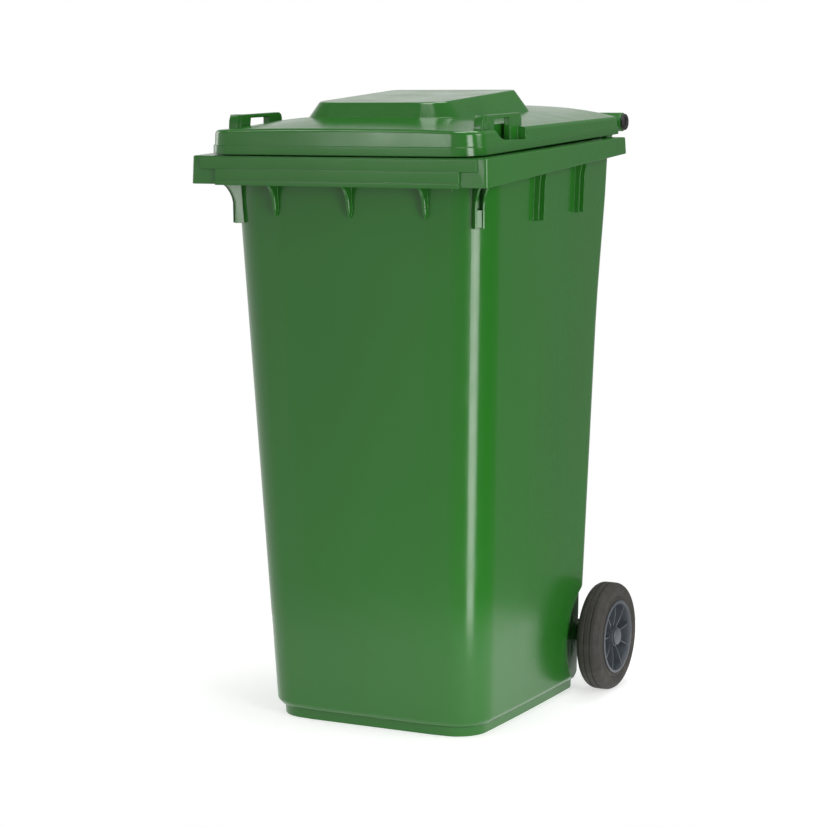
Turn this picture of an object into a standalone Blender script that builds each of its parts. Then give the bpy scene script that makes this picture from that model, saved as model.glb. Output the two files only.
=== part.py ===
"""Two-wheeled refuse container of about 240 litres: tub, hinged lid, wheels on one axle.

Metres, +Z up. X runs across the container, the comb rim faces -Y, and the wheels and the
handle are at +Y. The origin is on the ground, in the middle of the overall box. Distances
called "depth" are measured rearwards from the foremost face of the comb rim.
"""

import math

import bmesh
import bpy
from mathutils import Matrix, Vector

# Overall
TOTAL_DEPTH = 0.702
GAP = 0.0003

# Tub walls: the section at WALL_DATUM and how fast each wall leans with height
WALL_DATUM = 0.97
WALL_HALF_WIDTH = 0.2535
WALL_FRONT = 0.0576
WALL_REAR = 0.6125
SIDE_LEAN = 0.0414
FRONT_LEAN = 0.0639
REAR_LEAN = 0.0073
WALL_THICKNESS = 0.004
FRONT_CORNER = 0.070
REAR_CORNER = 0.042
CREASE_X = 0.150
CREASE_STEP = 0.003
SIDE_BOW = 0.002
FOOT_INSET = 0.0126
FOOT_HEIGHT = 0.018
FLOOR_THICKNESS = 0.005

# Rim: a flat ledge with a skirt, both rising to the rear
RIM_HALF_WIDTH = 0.2860
RIM_DRAFT = 0.0013
RIM_FRONT = 0.006
RIM_REAR = 0.6155
RIM_CORNER = 0.006
RIM_TOP = 1.0180
RIM_TOP_RISE = 0.0466
SKIRT_BOTTOM = 0.9690
SKIRT_BOTTOM_RISE = 0.0769
SKIRT_THICKNESS = 0.0035
LEDGE_THICKNESS = 0.004
COMB_BANDS = (
    (0.9955, 1.0160, 0.2665, 0.0030),
    (0.9760, 0.9958, 0.2350, 0.0015),
    (0.9680, 0.9765, 0.2350, 0.0),
)

# Webs and ribs under the rim
FIN_X = (-0.146, 0.0, 0.146)
FIN_THICKNESS = 0.007
FIN_BOTTOM = 0.918
CORNER_WEB_SPREAD = 0.007
CORNER_WEB_BOTTOM = 0.899
SIDE_RIB_PAIRS = ((0.266, 0.289, 0.905), (0.444, 0.465, 0.913))
SIDE_RIB_REACH = 0.010
SIDE_RIB_THICKNESS = 0.003

# Chip nest: a boss hidden in the comb pocket, closed with a plug
NEST_X = 0.209
NEST_DEPTH = 0.030
NEST_RADIUS = 0.013
NEST_BOTTOM = 0.982

# Wheels and axle
WHEEL_RADIUS = 0.102
WHEEL_DEPTH = 0.600
WHEEL_MIDDLE_X = 0.2610
AXLE_RADIUS = 0.010
AXLE_END_X = 0.2730
AXLE_BORE = 0.0104
TURNED_STEPS = 32
BLADE_COUNT = 9
BLADE_FIRST = math.radians(14)
BLADE_THICKNESS = 0.0022
BLADE_SPAN = (0.0165, 0.0620)
BLADE_INNER = -0.0070
BLADE_OUTER = 0.0205
BLADE_DIP = 0.0070
HUB_INNER = -0.0270
HUB_OUTER = 0.0195

# Bay across the rear foot of the tub, in which the axle lies
ARCH_DEPTH = 0.613
ARCH_HEIGHT = 0.102
ARCH_RADIUS = 0.104
ARCH_FACE_X = 0.2035
BAY_HALF_WIDTH = 0.188
BAY_PROFILE = ((0.660, 0.050), (0.574, 0.066), (0.574, 0.138), (0.660, 0.182))
HOUSING_RADIUS = 0.026
HOUSING_END_X = ARCH_FACE_X + 0.0015
BAY_RIB_X = 0.065
BAY_RIB_THICKNESS = 0.008

# Lid hinge and handle tubes
HINGE_DEPTH = 0.672
HINGE_HEIGHT = 1.074
TUBE_RADIUS = 0.0175
TUBE_INNER_X = 0.105
TUBE_OUTER_X = 0.255
PIN_RADIUS = 0.0105
PIN_BORE = 0.0109
PIN_HEAD_RADIUS = 0.0152
PIN_HEAD_LENGTH = 0.0052
EAR_X = (0.046, 0.059)
KNUCKLE_X = (0.062, 0.103)
KNUCKLE_RADIUS = 0.0165
LUG_X = ((0.1065, 0.1175), (0.222, 0.234))

# Lid shell
LID_HALF_WIDTH = 0.2628
LID_FRONT = 0.0085
LID_REAR = 0.641
LID_FRONT_CORNER = 0.048
LID_REAR_CORNER = 0.014
LID_BOTTOM = 1.0200
LID_BOTTOM_RISE = 0.0507
LID_TOP = 1.0612
LID_TOP_RISE = 0.0375
LID_WALL = 0.0035
LID_STEP_HEIGHT = 0.0152
LID_CROWN = 0.0205
RAMP_END = 0.150

# Raised dome in the lid
DOME_HALF_WIDTH = 0.127
DOME_FRONT = 0.149
DOME_REAR = 0.469
DOME_CORNERS = (0.045, 0.014)
DOME_TOP = 1.110
DOME_RISE = 0.075
DOME_FLARE = 0.70
DOME_SKIRT = 0.045

# Loop grips on both side edges of the lid
GRIP_X = (0.2320, 0.2445)
GRIP_FRONT = 0.066
GRIP_REAR = 0.232
GRIP_HOLE = (0.122, 0.184)
SCOOP_LOW = 1.0475
SCOOP_X = 0.2250
SCOOP_OUT = 0.300
SCOOP_FRONT = 0.092
SCOOP_DISH = 0.028
SCOOP_TOP = 1.12
SCOOP_STEPS = 5
GRIP_TOP = 1.0868
GRIP_RISE = 0.0265
GRIP_BAR = 0.0070

GREEN = (0.050, 0.190, 0.045)
BLACK = (0.012, 0.012, 0.013)
WHEEL_GREY = (0.060, 0.072, 0.085)
TYRE_BLACK = (0.030, 0.029, 0.026)
STEEL = (0.55, 0.55, 0.57)

WHEEL_CENTRE = Vector((0.0, WHEEL_DEPTH - TOTAL_DEPTH / 2, WHEEL_RADIUS))

# Sprung pin in each hub that drops into a groove of the axle, in heights above the ground
LOCK_X = WHEEL_MIDDLE_X + 0.0045
LOCK_SEAT = WHEEL_RADIUS + 0.0120
LOCK_TOP = WHEEL_RADIUS + 0.0250
SPRING_LOW = LOCK_SEAT + 0.0018
SPRING_HIGH = LOCK_TOP - 0.0035

SIDES = (("left", -1), ("right", 1))


def y_at(depth):
    """Y of a place that lies this far behind the front of the comb rim."""
    return depth - TOTAL_DEPTH / 2


HINGE = Vector((0.0, y_at(HINGE_DEPTH), HINGE_HEIGHT))


# ---------------------------------------------------------------- helpers


def clear_scene():
    for thing in list(bpy.data.objects):
        bpy.data.objects.remove(thing)


def material(name, colour, roughness, metallic=0.0):
    made = bpy.data.materials.new(name)
    made.use_nodes = True
    shader = made.node_tree.nodes["Principled BSDF"]
    shader.inputs["Base Color"].default_value = (*colour, 1.0)
    shader.inputs["Roughness"].default_value = roughness
    shader.inputs["Metallic"].default_value = metallic
    return made


def solid(name, points, faces):
    """An object from points and faces, with all its faces turned outwards."""
    mesh = bpy.data.meshes.new(name)
    mesh.from_pydata([tuple(p) for p in points], [], faces)
    shape = bmesh.new()
    shape.from_mesh(mesh)
    bmesh.ops.remove_doubles(shape, verts=shape.verts, dist=1e-6)
    bmesh.ops.recalc_face_normals(shape, faces=shape.faces)
    bmesh.ops.triangulate(shape, faces=shape.faces)
    shape.to_mesh(mesh)
    shape.free()
    thing = bpy.data.objects.new(name, mesh)
    bpy.context.scene.collection.objects.link(thing)
    return thing


def loft(name, rings, fan_last=False):
    """A solid skinned over rings of equally many points, closed by a flat face at each end."""
    count = len(rings[0])
    points = [point for ring in rings for point in ring]
    faces = []
    for level in range(len(rings) - 1):
        for i in range(count):
            j = (i + 1) % count
            low = level * count
            high = low + count
            faces.append((low + i, low + j, high + j, high + i))
    faces.append(tuple(range(count)))
    last = (len(rings) - 1) * count
    if fan_last:
        middle = sum((Vector(p) for p in rings[-1]), Vector()) / count
        points.append(tuple(middle))
        faces += [(last + i, last + (i + 1) % count, len(points) - 1) for i in range(count)]
    else:
        faces.append(tuple(range(last, last + count)))
    return solid(name, points, faces)


def prism(name, corners, low, high):
    """A solid of constant section along X; corners are (depth, height) pairs."""
    return loft(name, [[(x, y_at(d), z) for d, z in corners] for x in (low, high)])


def block(name, x, depth, height):
    corners = ((depth[0], height[0]), (depth[1], height[0]), (depth[1], height[1]), (depth[0], height[1]))
    return prism(name, corners, *x)


def plate(name, profile, thickness, base, heading):
    """An upright plate. The profile is (reach, height) pairs, with reach measured along heading."""
    along = Vector((math.cos(heading), math.sin(heading), 0.0))
    across = Vector((-along.y, along.x, 0.0)) * thickness / 2
    foot = Vector((base[0], y_at(base[1]), 0.0))
    rings = []
    for side in (-1, 1):
        edge = foot + across * side
        rings.append([tuple(edge + along * reach + Vector((0, 0, z))) for reach, z in profile])
    return loft(name, rings)


def rod(name, radius, low, high, centre, steps=24, axis="X"):
    """A plain cylinder from low to high along X or Z."""
    rings = []
    for at in (low, high):
        ring = []
        for i in range(steps):
            angle = math.tau * (i + 0.5) / steps
            a, b = radius * math.cos(angle), radius * math.sin(angle)
            offset = (at, centre[1] + a, centre[2] + b) if axis == "X" else (centre[0] + a, centre[1] + b, at)
            ring.append(offset)
        rings.append(ring)
    return loft(name, rings)


def turned(name, profile, centre, steps=TURNED_STEPS, flip=1, axis="X"):
    """A body of revolution about X or Z. The profile is (along, radius) pairs, in order."""
    points = []
    starts = []
    for along, radius in profile:
        starts.append((len(points), 1 if radius < 1e-6 else steps))
        for i in range(starts[-1][1]):
            angle = math.tau * i / steps
            a, b = radius * math.cos(angle), radius * math.sin(angle)
            if axis == "X":
                points.append((flip * along, centre[1] + a, centre[2] + b))
            else:
                points.append((centre[0] + a, centre[1] + b, along))
    faces = []
    for k in range(len(profile)):
        (first, first_count), (second, second_count) = starts[k], starts[(k + 1) % len(profile)]
        if first_count == second_count == 1:
            continue
        for i in range(steps):
            j = (i + 1) % steps
            face = [first + i % first_count, second + i % second_count, second + j % second_count]
            face.append(first + j % first_count)
            faces.append(tuple(dict.fromkeys(face)))
    return solid(name, points, faces)


def combine(target, tools, operation):
    """Joins all the tools to the target, or cuts them all away, in one step; the tools are used up."""
    group = bpy.data.collections.new("tools")
    for tool in tools:
        group.objects.link(tool)
    modifier = target.modifiers.new("combine", "BOOLEAN")
    modifier.operation = operation
    modifier.solver = "EXACT"
    modifier.operand_type = "COLLECTION"
    modifier.collection = group
    graph = bpy.context.evaluated_depsgraph_get()
    graph.update()
    mesh = bpy.data.meshes.new_from_object(target.evaluated_get(graph))
    target.modifiers.clear()
    target.data = mesh
    for tool in tools:
        bpy.data.objects.remove(tool)
    bpy.data.collections.remove(group)
    return target


def join(target, *tools):
    return combine(target, tools, "UNION")


def cut(target, *tools):
    return combine(target, tools, "DIFFERENCE")


def finish(thing, paint, axis_point=None, smooth_angle=32.0):
    """Cleans the mesh, gives it its material, shades it and moves its origin to the point it turns about."""
    shape = bmesh.new()
    shape.from_mesh(thing.data)
    bmesh.ops.dissolve_limit(shape, angle_limit=math.radians(0.2), verts=shape.verts, edges=shape.edges)
    bmesh.ops.dissolve_degenerate(shape, dist=2e-6, edges=shape.edges)
    bmesh.ops.triangulate(shape, faces=shape.faces)
    bmesh.ops.recalc_face_normals(shape, faces=shape.faces)
    shape.to_mesh(thing.data)
    shape.free()
    thing.data.materials.clear()
    thing.data.materials.append(paint)
    thing.data.shade_smooth()
    thing.data.set_sharp_from_angle(angle=math.radians(smooth_angle))
    if axis_point is not None:
        thing.data.transform(Matrix.Translation(-Vector(axis_point)))
        thing.location = axis_point


# ---------------------------------------------------------------- outlines


def outline(
    half_width, front, rear, front_corner, rear_corner, crease=0.0, recede=0.0, bow=0.0, steps=(7, 4)
):
    """A closed ring of (x, depth) pairs: a rectangle with round corners, the same on both sides of X = 0."""
    right = [(0.0, front)]
    if crease:
        right.append((crease, front))
    corner_depth = front + recede + front_corner
    for i in range(steps[0] + 1):
        angle = math.pi / 2 * (i / steps[0] - 1.0)
        x = half_width - front_corner + front_corner * math.cos(angle)
        right.append((x, corner_depth + front_corner * math.sin(angle)))
    for t in (0.25, 0.5, 0.75):
        depth = corner_depth + t * (rear - rear_corner - corner_depth)
        right.append((half_width + bow * (1.0 - (2.0 * t - 1.0) ** 2), depth))
    for i in range(steps[1] + 1):
        angle = math.pi / 2 * i / steps[1]
        x = half_width - rear_corner + rear_corner * math.cos(angle)
        right.append((x, rear - rear_corner + rear_corner * math.sin(angle)))
    right.append((0.0, rear))
    return right + [(-x, d) for x, d in reversed(right) if x > 0.0]


def wall_outline(height, inset):
    below = WALL_DATUM - height
    return outline(
        WALL_HALF_WIDTH - SIDE_LEAN * below - inset,
        WALL_FRONT + FRONT_LEAN * below + inset,
        WALL_REAR - REAR_LEAN * below - inset,
        FRONT_CORNER - inset,
        REAR_CORNER - inset,
        crease=CREASE_X - SIDE_LEAN * below,
        recede=CREASE_STEP,
        bow=SIDE_BOW,
    )


def wall_ring(height_at, inset):
    """A ring on the leaning walls at a height that may change with depth."""
    level = wall_outline(height_at(TOTAL_DEPTH / 2), inset)
    ring = []
    for i, (_, depth) in enumerate(level):
        x, d = wall_outline(height_at(depth), inset)[i]
        ring.append((x, y_at(d), height_at(depth)))
    return ring


def rim_top(depth):
    return RIM_TOP + RIM_TOP_RISE * depth


def skirt_bottom(depth):
    return SKIRT_BOTTOM + SKIRT_BOTTOM_RISE * depth


def rim_ring(height_at, inset):
    ring = outline(
        RIM_HALF_WIDTH - inset, RIM_FRONT + inset, RIM_REAR - inset, RIM_CORNER, RIM_CORNER, steps=(3, 3)
    )
    return [(x, y_at(d), height_at(d)) for x, d in ring]


def bay_polygon(grow):
    """The (depth, height) section of the axle bay, pushed out by grow on its three inner faces."""
    (far, low), (deep, deep_low), (_, deep_high), (_, high) = BAY_PROFILE
    inner = deep - grow
    return ((far, low - grow), (inner, deep_low - grow), (inner, deep_high + grow), (far, high + grow))


# ---------------------------------------------------------------- tub


def tub_outside():
    levels = ((0.0, FOOT_INSET), (FOOT_HEIGHT, FOOT_INSET), (0.0195, 0.0075), (0.0235, 0.0030), (0.032, 0.0))
    rings = [wall_ring(lambda d, z=z: z, inset) for z, inset in levels]
    rings.append(wall_ring(lambda d: 0.60, 0.0))
    rings.append(wall_ring(under_rim, 0.0))
    return loft("tub_outside", rings)


def tub_inside():
    wall = WALL_THICKNESS
    in_foot = FOOT_INSET + wall
    levels = ((FLOOR_THICKNESS, in_foot), (FOOT_HEIGHT + wall, in_foot), (0.0275, 0.003 + wall))
    rings = [wall_ring(lambda d, z=z: z, inset) for z, inset in levels]
    rings.append(wall_ring(lambda d: 0.036, wall))
    rings.append(wall_ring(lambda d: 0.60, wall))
    rings.append(wall_ring(lambda d: rim_top(d) + 0.02, wall))
    arches = [wheel_arch(side, wall) for _, side in SIDES]
    return cut(loft("tub_inside", rings), prism("bay_wall", bay_polygon(wall), -0.26, 0.26), *arches)


def wheel_arch(side, grow):
    """The round recess beside each wheel; with grow it is the recess plus the wall around it."""
    near, far = sorted((side * (ARCH_FACE_X - grow), side * 0.30))
    centre = (0.0, y_at(ARCH_DEPTH), ARCH_HEIGHT)
    return rod("arch", ARCH_RADIUS + grow, near, far, centre, steps=48)


def rim():
    """The ledge and its skirt, hollow from below."""
    shape = loft("rim", [rim_ring(skirt_bottom, 0.0), rim_ring(rim_top, RIM_DRAFT)])
    inset = SKIRT_THICKNESS
    pocket = [
        rim_ring(lambda d: skirt_bottom(d) - 0.01, inset),
        rim_ring(lambda d: rim_top(d) - LEDGE_THICKNESS, inset + RIM_DRAFT),
    ]
    return cut(shape, loft("pocket", pocket))


def comb_bands():
    """The stepped bands across the front of the skirt; each lower one stands further out."""
    shapes = []
    for low, high, half_width, front in COMB_BANDS:
        shapes.append(block("band", (-half_width, half_width), (front, RIM_FRONT + 0.002), (low, high)))
    return shapes


def under_rim(depth):
    """A height inside the ledge, where webs and ribs end."""
    return rim_top(depth) - 0.002


def front_fin(x):
    wall = WALL_FRONT + 0.002
    profile = [(-0.01, FIN_BOTTOM), (0.008, FIN_BOTTOM + 0.002)]
    for i in range(6):
        angle = math.pi / 2 * i / 5
        reach = 0.010 + 0.040 * (1.0 - math.cos(angle))
        profile.append((reach, FIN_BOTTOM + 0.010 + 0.042 * math.sin(angle)))
    profile += [(0.050, under_rim(0.0)), (-0.01, under_rim(0.0))]
    return plate("fin", profile, FIN_THICKNESS, (x, wall), -math.pi / 2)


def corner_webs(side):
    """Two parallel webs that stand diagonally out of a front corner column, with a bridge between them."""
    column = (WALL_HALF_WIDTH - FRONT_CORNER, WALL_FRONT + CREASE_STEP + FRONT_CORNER)
    heading = -math.pi / 4 if side > 0 else -3 * math.pi / 4
    across = Vector((-math.sin(heading), math.cos(heading), 0.0))
    top = under_rim(0.03)
    low = CORNER_WEB_BOTTOM
    start = FRONT_CORNER - 0.012
    profile = [(start, low), (start + 0.022, low), (start + 0.0225, low + 0.036)]
    profile += [(start + 0.028, low + 0.052), (start + 0.043, low + 0.070), (start + 0.062, low + 0.078)]
    profile += [(start + 0.062, top), (start, top)]
    shapes = []
    for spread in (-CORNER_WEB_SPREAD, CORNER_WEB_SPREAD):
        base = (side * column[0] + across.x * spread, column[1] + across.y * spread)
        shapes.append(plate("web", profile, 0.004, base, heading))
    foot = low + 0.0015
    bridge = [(start, foot), (start + 0.019, foot), (start + 0.019, foot + 0.030), (start, foot + 0.030)]
    shapes.append(plate("bridge", bridge, 2 * CORNER_WEB_SPREAD, (side * column[0], column[1]), heading))
    return shapes


def side_ribs(side):
    """Pairs of upright ribs on the side walls, just below the rim."""
    shapes = []
    for front, rear, low in SIDE_RIB_PAIRS:
        wall = WALL_HALF_WIDTH + SIDE_BOW * 0.9
        lean = SIDE_LEAN * (WALL_DATUM - low)
        top = under_rim(front)
        profile = [(-0.008, low), (SIDE_RIB_REACH - lean, low)]
        flared = SIDE_RIB_REACH + 0.006
        profile += [(SIDE_RIB_REACH, top - 0.055), (flared, top - 0.028), (flared, top)]
        profile += [(-0.008, top)]
        heading = 0.0 if side > 0 else math.pi
        for depth in (front, rear):
            shapes.append(plate("rib", profile, SIDE_RIB_THICKNESS, (side * wall, depth), heading))
    return shapes


def handle_lug(low, high):
    """A bracket from the rear rim to the hinge axis. It passes under the rear edge of the closed lid."""
    profile = ((-0.063, -0.029), (-0.030, -0.029), (-0.022, -0.018), (-0.0118, -0.0080), (-0.0025, -0.0140))
    profile += ((0.0075, -0.0122), (-0.006, -0.031), (-0.030, -0.058), (-0.063, -0.078))
    corners = [(HINGE_DEPTH + d, HINGE_HEIGHT + z) for d, z in profile]
    return prism("lug", corners, low, high)


def handle_tube(side):
    """The handle, bored for the hinge pin."""
    profile = ((TUBE_INNER_X, PIN_BORE), (TUBE_INNER_X, TUBE_RADIUS), (TUBE_OUTER_X - 0.001, TUBE_RADIUS))
    profile += ((TUBE_OUTER_X, TUBE_RADIUS - 0.001), (TUBE_OUTER_X, PIN_BORE))
    return turned("tube", profile, HINGE, steps=28, flip=side)


def hinge_ear(side):
    low, high = EAR_X
    profile = ((low, PIN_BORE), (low, KNUCKLE_RADIUS), (high, KNUCKLE_RADIUS), (high, PIN_BORE))
    return turned("ear", profile, HINGE, steps=28, flip=side)


def axle_bearer(low, high):
    """A rib across the axle bay that carries the axle in a round boss."""
    boss = rod("boss", HOUSING_RADIUS, low, high, WHEEL_CENTRE, steps=28)
    inset = 0.0007
    web = ((0.568, 0.062), (0.600, 0.076), (0.600, 0.128), (0.568, 0.142))
    return [boss, prism("web", web, low + inset, high - inset)]


def make_tub(paint):
    tub = tub_outside()
    tub.name = tub.data.name = "tub"
    arches = [wheel_arch(side, 0.0) for _, side in SIDES]
    cut(tub, prism("bay", bay_polygon(0.0), -BAY_HALF_WIDTH, BAY_HALF_WIDTH), *arches)
    added = [rim(), *comb_bands(), *[front_fin(x) for x in FIN_X]]
    for _, side in SIDES:
        added += corner_webs(side) + side_ribs(side) + [hinge_ear(side), handle_tube(side)]
        for low, high in ((EAR_X[0] + 0.0015, EAR_X[1] - 0.0015), *LUG_X):
            added.append(handle_lug(*sorted((side * low, side * high))))
        added += axle_bearer(*sorted((side * (BAY_HALF_WIDTH - 0.002), side * HOUSING_END_X)))
        rib = side * BAY_RIB_X
        added += axle_bearer(rib - BAY_RIB_THICKNESS / 2, rib + BAY_RIB_THICKNESS / 2)
    nest = (NEST_X, y_at(NEST_DEPTH), 0.0)
    added.append(rod("nest", NEST_RADIUS + 0.003, NEST_BOTTOM, under_rim(NEST_DEPTH), nest, axis="Z"))
    join(tub, *added)
    nest_top = rim_top(NEST_DEPTH) - LEDGE_THICKNESS
    nest_bore = rod("nest_bore", NEST_RADIUS, NEST_BOTTOM - 0.01, nest_top, nest, axis="Z")
    axle_bore = rod("axle_bore", AXLE_BORE, -0.23, 0.23, WHEEL_CENTRE)
    cut(tub, tub_inside(), nest_bore, axle_bore)
    finish(tub, paint)


def make_nest_plug(paint):
    centre = (NEST_X, y_at(NEST_DEPTH), 0.0)
    radius = NEST_RADIUS - 0.0005
    profile = ((0.964, 0.0), (0.964, 0.004), (0.980, 0.004))
    profile += ((0.980, radius + 0.002), (0.9817, radius + 0.002))
    profile += ((0.9817, radius), (0.992, radius), (0.992, 0.0))
    finish(turned("chip_nest_plug", profile, centre, steps=20, axis="Z"), paint)


def make_hinge_pin(side_name, side, paint):
    inner = EAR_X[0] + 0.002
    shoulder = TUBE_OUTER_X + GAP
    face = shoulder + PIN_HEAD_LENGTH
    profile = ((inner, 0.0), (inner, PIN_RADIUS - 0.002), (inner + 0.003, PIN_RADIUS), (shoulder, PIN_RADIUS))
    profile += ((shoulder, PIN_HEAD_RADIUS), (face - 0.0012, PIN_HEAD_RADIUS))
    profile += ((face, PIN_HEAD_RADIUS - 0.0012),)
    profile += ((face, 0.0090), (face - 0.0025, 0.0080), (face - 0.0025, 0.0))
    finish(turned(f"hinge_pin_{side_name}", profile, HINGE, steps=24, flip=side), paint)


# ---------------------------------------------------------------- lid


def lid_crown(x, depth):
    """How far the top of the lid stands above the straight line of its side edges."""
    across = max(0.0, 1.0 - abs(x / (LID_HALF_WIDTH - 0.010)) ** 3)
    t = min(1.0, max(0.0, (depth - LID_FRONT - 0.010) / (RAMP_END - LID_FRONT - 0.010)))
    return LID_CROWN * across * (0.22 + 0.78 * t)


def lid_surface(x, depth, drop=0.0):
    return (x, y_at(depth), LID_TOP + LID_TOP_RISE * depth + lid_crown(x, depth) - drop)


def lid_outline(inset):
    return outline(
        LID_HALF_WIDTH - inset,
        LID_FRONT + inset,
        LID_REAR - inset,
        max(0.004, LID_FRONT_CORNER - inset),
        max(0.003, LID_REAR_CORNER - inset),
        crease=0.110,
        steps=(6, 3),
    )


def lid_form(inset, drop, bottom_extra):
    """The lid as a solid block. The inside of the shell is the same block, inset and lower."""
    low = [(x, y_at(d), LID_BOTTOM + LID_BOTTOM_RISE * d - bottom_extra) for x, d in lid_outline(inset)]
    step = LID_STEP_HEIGHT + (0.0 if bottom_extra == 0.0 else -0.001)
    rings = [low]
    rings.append([(x, y_at(d), LID_BOTTOM + LID_BOTTOM_RISE * d + step) for x, d in lid_outline(inset)])
    lip = LID_BOTTOM + step + 0.0006
    rings.append([(x, y_at(d), lip + LID_BOTTOM_RISE * d) for x, d in lid_outline(inset + 0.002)])
    rings.append([lid_surface(x, d, drop + 0.007) for x, d in lid_outline(inset + 0.003)])
    rings.append([lid_surface(x, d, drop + 0.002) for x, d in lid_outline(inset + 0.005)])
    edge = lid_outline(inset + 0.010)
    rings.append([lid_surface(x, d, drop) for x, d in edge])
    middle = (LID_FRONT + LID_REAR) / 2
    for scale in (0.86, 0.70, 0.50, 0.25):
        rings.append([lid_surface(x * scale, middle + (d - middle) * scale, drop) for x, d in edge])
    return loft("lid_form", rings, fan_last=True)


def dome_form(inset, drop):
    """The raised dome as a block with sloping sides, a little wider at each lower ring."""

    def ring(extra, below):
        shape = outline(
            DOME_HALF_WIDTH - extra,
            DOME_FRONT + extra,
            DOME_REAR - extra,
            DOME_CORNERS[0] - min(0.0, extra),
            DOME_CORNERS[1] - min(0.0, extra),
            steps=(5, 3),
        )
        return [(x, y_at(d), DOME_TOP + DOME_RISE * (d - DOME_FRONT) - below) for x, d in shape]

    skirt = DOME_SKIRT + drop
    rings = [ring(inset - DOME_FLARE * DOME_SKIRT, skirt)]
    rings += [ring(inset, 0.0015 + drop), ring(inset + 0.003, drop)]
    return loft("dome_form", rings)


def grip_top(depth):
    return GRIP_TOP + GRIP_RISE * depth


def grip(side):
    """A loop grip: a solid front part with two ribs, a bar over the finger hole, and a rear post."""
    near, far = sorted(side * x for x in GRIP_X)
    hole_front, hole_rear = GRIP_HOLE
    base = SCOOP_LOW - 0.001
    bar = [(GRIP_FRONT + 0.006, grip_top(GRIP_FRONT) - 0.016), (GRIP_FRONT + 0.014, grip_top(GRIP_FRONT))]
    bar += [(GRIP_REAR - 0.005, grip_top(GRIP_REAR)), (GRIP_REAR, grip_top(GRIP_REAR) - 0.008)]
    bar += [(GRIP_REAR, base)]
    bar += [(hole_rear, base), (hole_rear, grip_top(hole_rear) - GRIP_BAR)]
    bar += [(hole_front, grip_top(hole_front) - GRIP_BAR), (hole_front - 0.006, base)]
    bar += [(GRIP_FRONT + 0.002, base)]
    shapes = [prism("grip_bar", bar, near, far)]
    rib_near, rib_far = sorted((side * (GRIP_X[0] - 0.002), side * (GRIP_X[1] + 0.002)))
    for depth in (GRIP_FRONT, GRIP_FRONT + 0.013):
        rib = ((depth, base), (depth + 0.003, grip_top(depth) - 0.010))
        rib += ((depth + 0.008, grip_top(depth) + 0.001),)
        rib += ((depth + 0.012, grip_top(depth) - 0.002), (depth + 0.009, base))
        shapes.append(prism("grip_rib", rib, rib_near, rib_far))
    return shapes


def scoop(side, grow):
    """The finger hollow in the lid's edge below a grip bar. Its front end is dished, its rear end steep."""
    low = SCOOP_LOW - grow
    front, deepest = SCOOP_FRONT - grow, GRIP_HOLE[0] + 0.012
    rear = GRIP_REAR - 0.012 + grow
    corners = [(rear - 0.006, low), (rear, SCOOP_TOP), (front, SCOOP_TOP)]
    for i in range(SCOOP_STEPS):
        angle = math.pi / 2 * i / SCOOP_STEPS
        height = low + SCOOP_DISH * (1.0 - math.sin(angle))
        corners.append((deepest - (deepest - front) * math.cos(angle), height))
    corners.append((deepest, low))
    near, far = sorted((side * (SCOOP_X - grow), side * SCOOP_OUT))
    return prism("scoop", corners, near, far)


def knuckle(side):
    near, far = sorted(side * x for x in KNUCKLE_X)
    profile = ((-0.040, 0.016), (-0.010, 0.0155), (0.0, 0.0))
    profile += ((-0.007, -0.0150), (-0.030, -0.019), (-0.040, -0.019))
    corners = [(HINGE_DEPTH + d, HINGE_HEIGHT + z) for d, z in profile]
    arm = prism("arm", corners, near + 0.0015, far - 0.0015)
    return [arm, rod("eye", KNUCKLE_RADIUS, near, far, HINGE)]


def make_lid(paint):
    lid = lid_form(0.0, 0.0, 0.0)
    lid.name = lid.data.name = "lid"
    inside = lid_form(LID_WALL, LID_WALL, 0.02)
    join(inside, dome_form(LID_WALL, LID_WALL))
    cut(lid, *[scoop(side, 0.0) for _, side in SIDES])
    cut(inside, *[scoop(side, LID_WALL) for _, side in SIDES])
    added = [dome_form(0.0, 0.0)]
    bores = []
    for _, side in SIDES:
        added += grip(side) + knuckle(side)
        near, far = sorted((side * (KNUCKLE_X[0] - 0.005), side * (KNUCKLE_X[1] + 0.005)))
        bores.append(rod("eye_bore", PIN_BORE, near, far, HINGE))
    join(lid, *added)
    cut(lid, inside, *bores)
    finish(lid, paint, HINGE)


# ---------------------------------------------------------------- wheels


def make_axle(paint):
    groove = LOCK_X
    half = [(0.0, AXLE_RADIUS), (groove - 0.0028, AXLE_RADIUS), (groove - 0.0028, AXLE_RADIUS - 0.002)]
    half += [(groove + 0.0028, AXLE_RADIUS - 0.002), (groove + 0.0028, AXLE_RADIUS)]
    half += [(AXLE_END_X - 0.002, AXLE_RADIUS), (AXLE_END_X, AXLE_RADIUS - 0.002), (AXLE_END_X, 0.0)]
    profile = [(-x, r) for x, r in reversed(half[1:])] + half[1:]
    finish(turned("axle", profile, WHEEL_CENTRE, steps=20), paint)


def blade(angle, side):
    """One straight blade of the wheel, from the hub to the barrel. Its outer edge dips towards the hub."""
    out = Vector((math.cos(angle), math.sin(angle)))
    across = Vector((-out.y, out.x)) * BLADE_THICKNESS / 2
    start, end = BLADE_SPAN
    profile = [(start, BLADE_INNER), (end, BLADE_INNER)]
    for i in range(5):
        t = 1.0 - i / 4
        profile.append((start + (end - start) * t, BLADE_OUTER - BLADE_DIP * (1.0 - t) ** 2))
    rings = []
    for offset in (-across, across):
        ring = []
        for radius, along in profile:
            spot = out * radius + offset
            ring.append((side * (WHEEL_MIDDLE_X + along), WHEEL_CENTRE.y + spot.x, WHEEL_CENTRE.z + spot.y))
        rings.append(ring)
    return loft("blade", rings)


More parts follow.
